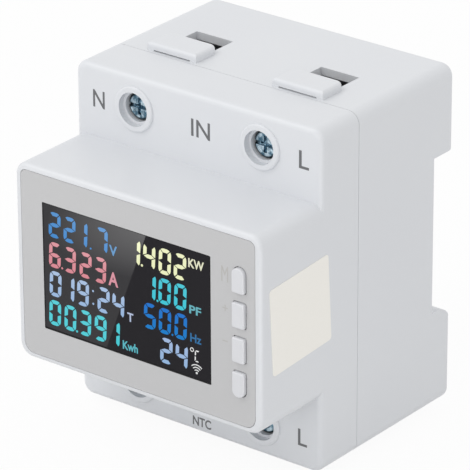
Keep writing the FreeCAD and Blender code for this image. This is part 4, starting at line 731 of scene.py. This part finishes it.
header_black, tree, shader, place = new_finish("header_nylon_and_gold_pins", IOR=1.5)
depth = add(tree, "ShaderNodeSeparateXYZ", {0: place}).outputs[1]
header_middle, header_half = middle_and_half("board_header", 1)
strip_thick = 2.55
is_pin = compared(tree, depth, header_middle, "LESS_THAN", header_half - strip_thick * MM)
fleck = add(tree, "ShaderNodeTexNoise", {"Vector": place, "Scale": 1500.0})
nylon = add(tree, "ShaderNodeMix", {0: fleck.outputs["Fac"], 6: "#27272a", 7: "#1f1f22"}, data_type="RGBA")
pin_tone = add(tree, "ShaderNodeMix", {0: is_pin, 6: nylon.outputs[2], 7: "#dcb765"}, data_type="RGBA")
pin_rough = add(tree, "ShaderNodeMapRange", {"Value": is_pin, "To Min": 0.5, "To Max": 0.22})
feed(tree, shader, Base_Color=pin_tone.outputs[2], Metallic=is_pin, Roughness=pin_rough.outputs[0])
dress(header_black, "board_header")
socket_nylon = moulded_plastic("moulded_nylon_cream", "#ebe6d8", "#e4dfd0", 0.3, 0.01, 0.35, 0.5)
dress(socket_nylon, "ntc_socket")


# Components on the main board: a transformer with dark ferrite ends round its yellow tape, a capacitor
# with a bare aluminium lid on its navy sleeve, a wire fuse in a moulded box, a dipped varistor and a
# moulded chip.
tape, tree, shader, place = new_finish("polyester_tape_and_ferrite", IOR=1.55)
height = add(tree, "ShaderNodeSeparateXYZ", {0: place}).outputs[2]
core_middle, core_half = middle_and_half("supply_transformer", 2)
tape_share = 0.62
is_core = compared(tree, height, core_middle, "GREATER_THAN", core_half * tape_share)
wraps = add(tree, "ShaderNodeTexNoise", {"Vector": place, "Scale": 400.0, "Detail": 2.0}).outputs["Fac"]
yellow = add(tree, "ShaderNodeMix", {0: wraps, 6: "#e3c53c", 7: "#d4b22c"}, data_type="RGBA")
core_tone = add(tree, "ShaderNodeMix", {0: is_core, 6: yellow.outputs[2], 7: "#35353a"}, data_type="RGBA")
core_rough = add(tree, "ShaderNodeMapRange", {"Value": is_core, "To Min": 0.25, "To Max": 0.6})
wrap_relief = add(tree, "ShaderNodeBump", {"Height": wraps, "Strength": 0.4, "Distance": 0.06 * MM})
feed(tree, shader, Base_Color=core_tone.outputs[2], Roughness=core_rough.outputs[0],
     Normal=wrap_relief.outputs[0])
dress(tape, "supply_transformer")

sleeve, tree, shader, place = new_finish("sleeved_aluminium_can", IOR=1.5, Coat_Weight=0.4,
                                         Coat_Roughness=0.1)
lid_thick = 0.25
lid_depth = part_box("filter_capacitor")[1][1] - lid_thick * MM
depth = add(tree, "ShaderNodeSeparateXYZ", {0: place}).outputs[1]
is_top = add(tree, "ShaderNodeMath", {0: depth, 1: lid_depth}, operation="GREATER_THAN").outputs[0]
film = add(tree, "ShaderNodeTexNoise", {"Vector": place, "Scale": 700.0, "Detail": 2.0})
navy = add(tree, "ShaderNodeMix", {0: film.outputs["Fac"], 6: "#1d2433", 7: "#161b28"}, data_type="RGBA")
can_tone = add(tree, "ShaderNodeMix", {0: is_top, 6: navy.outputs[2], 7: "#c9cacc"}, data_type="RGBA")
can_rough = add(tree, "ShaderNodeMapRange", {"Value": is_top, "To Min": 0.3, "To Max": 0.35})
feed(tree, shader, Base_Color=can_tone.outputs[2], Metallic=is_top, Roughness=can_rough.outputs[0])
dress(sleeve, "filter_capacitor")
dress(moulded_plastic("moulded_fuse_box_green", "#2e6b48", "#285f40", 0.3, 0.01, 0.4, 0.5), "input_fuse")
dress(moulded_plastic("dipped_epoxy_blue", "#2f57b0", "#284c9e", 0.9, 0.03, 0.12, 0.22), "varistor")
dress(moulded_plastic("moulded_epoxy_black", "#262627", "#1f1f20", 0.25, 0.01, 0.5, 0.65), "meter_chip")


# Rail clip and spring: a slide moulded in black glass filled nylon, its surface flecked by fibres, and
# a flat meander spring stamped from bright spring steel.
clip_nylon = moulded_plastic("moulded_glass_filled_nylon_black", "#2b2c2e", "#222325", 0.45, 0.02, 0.4, 0.6)
dress(clip_nylon, "rail_clip")
dress(plated_steel("stamped_spring_steel", "#b9bcc0", "#9da1a6", 0.25, 0.38), "clip_spring")
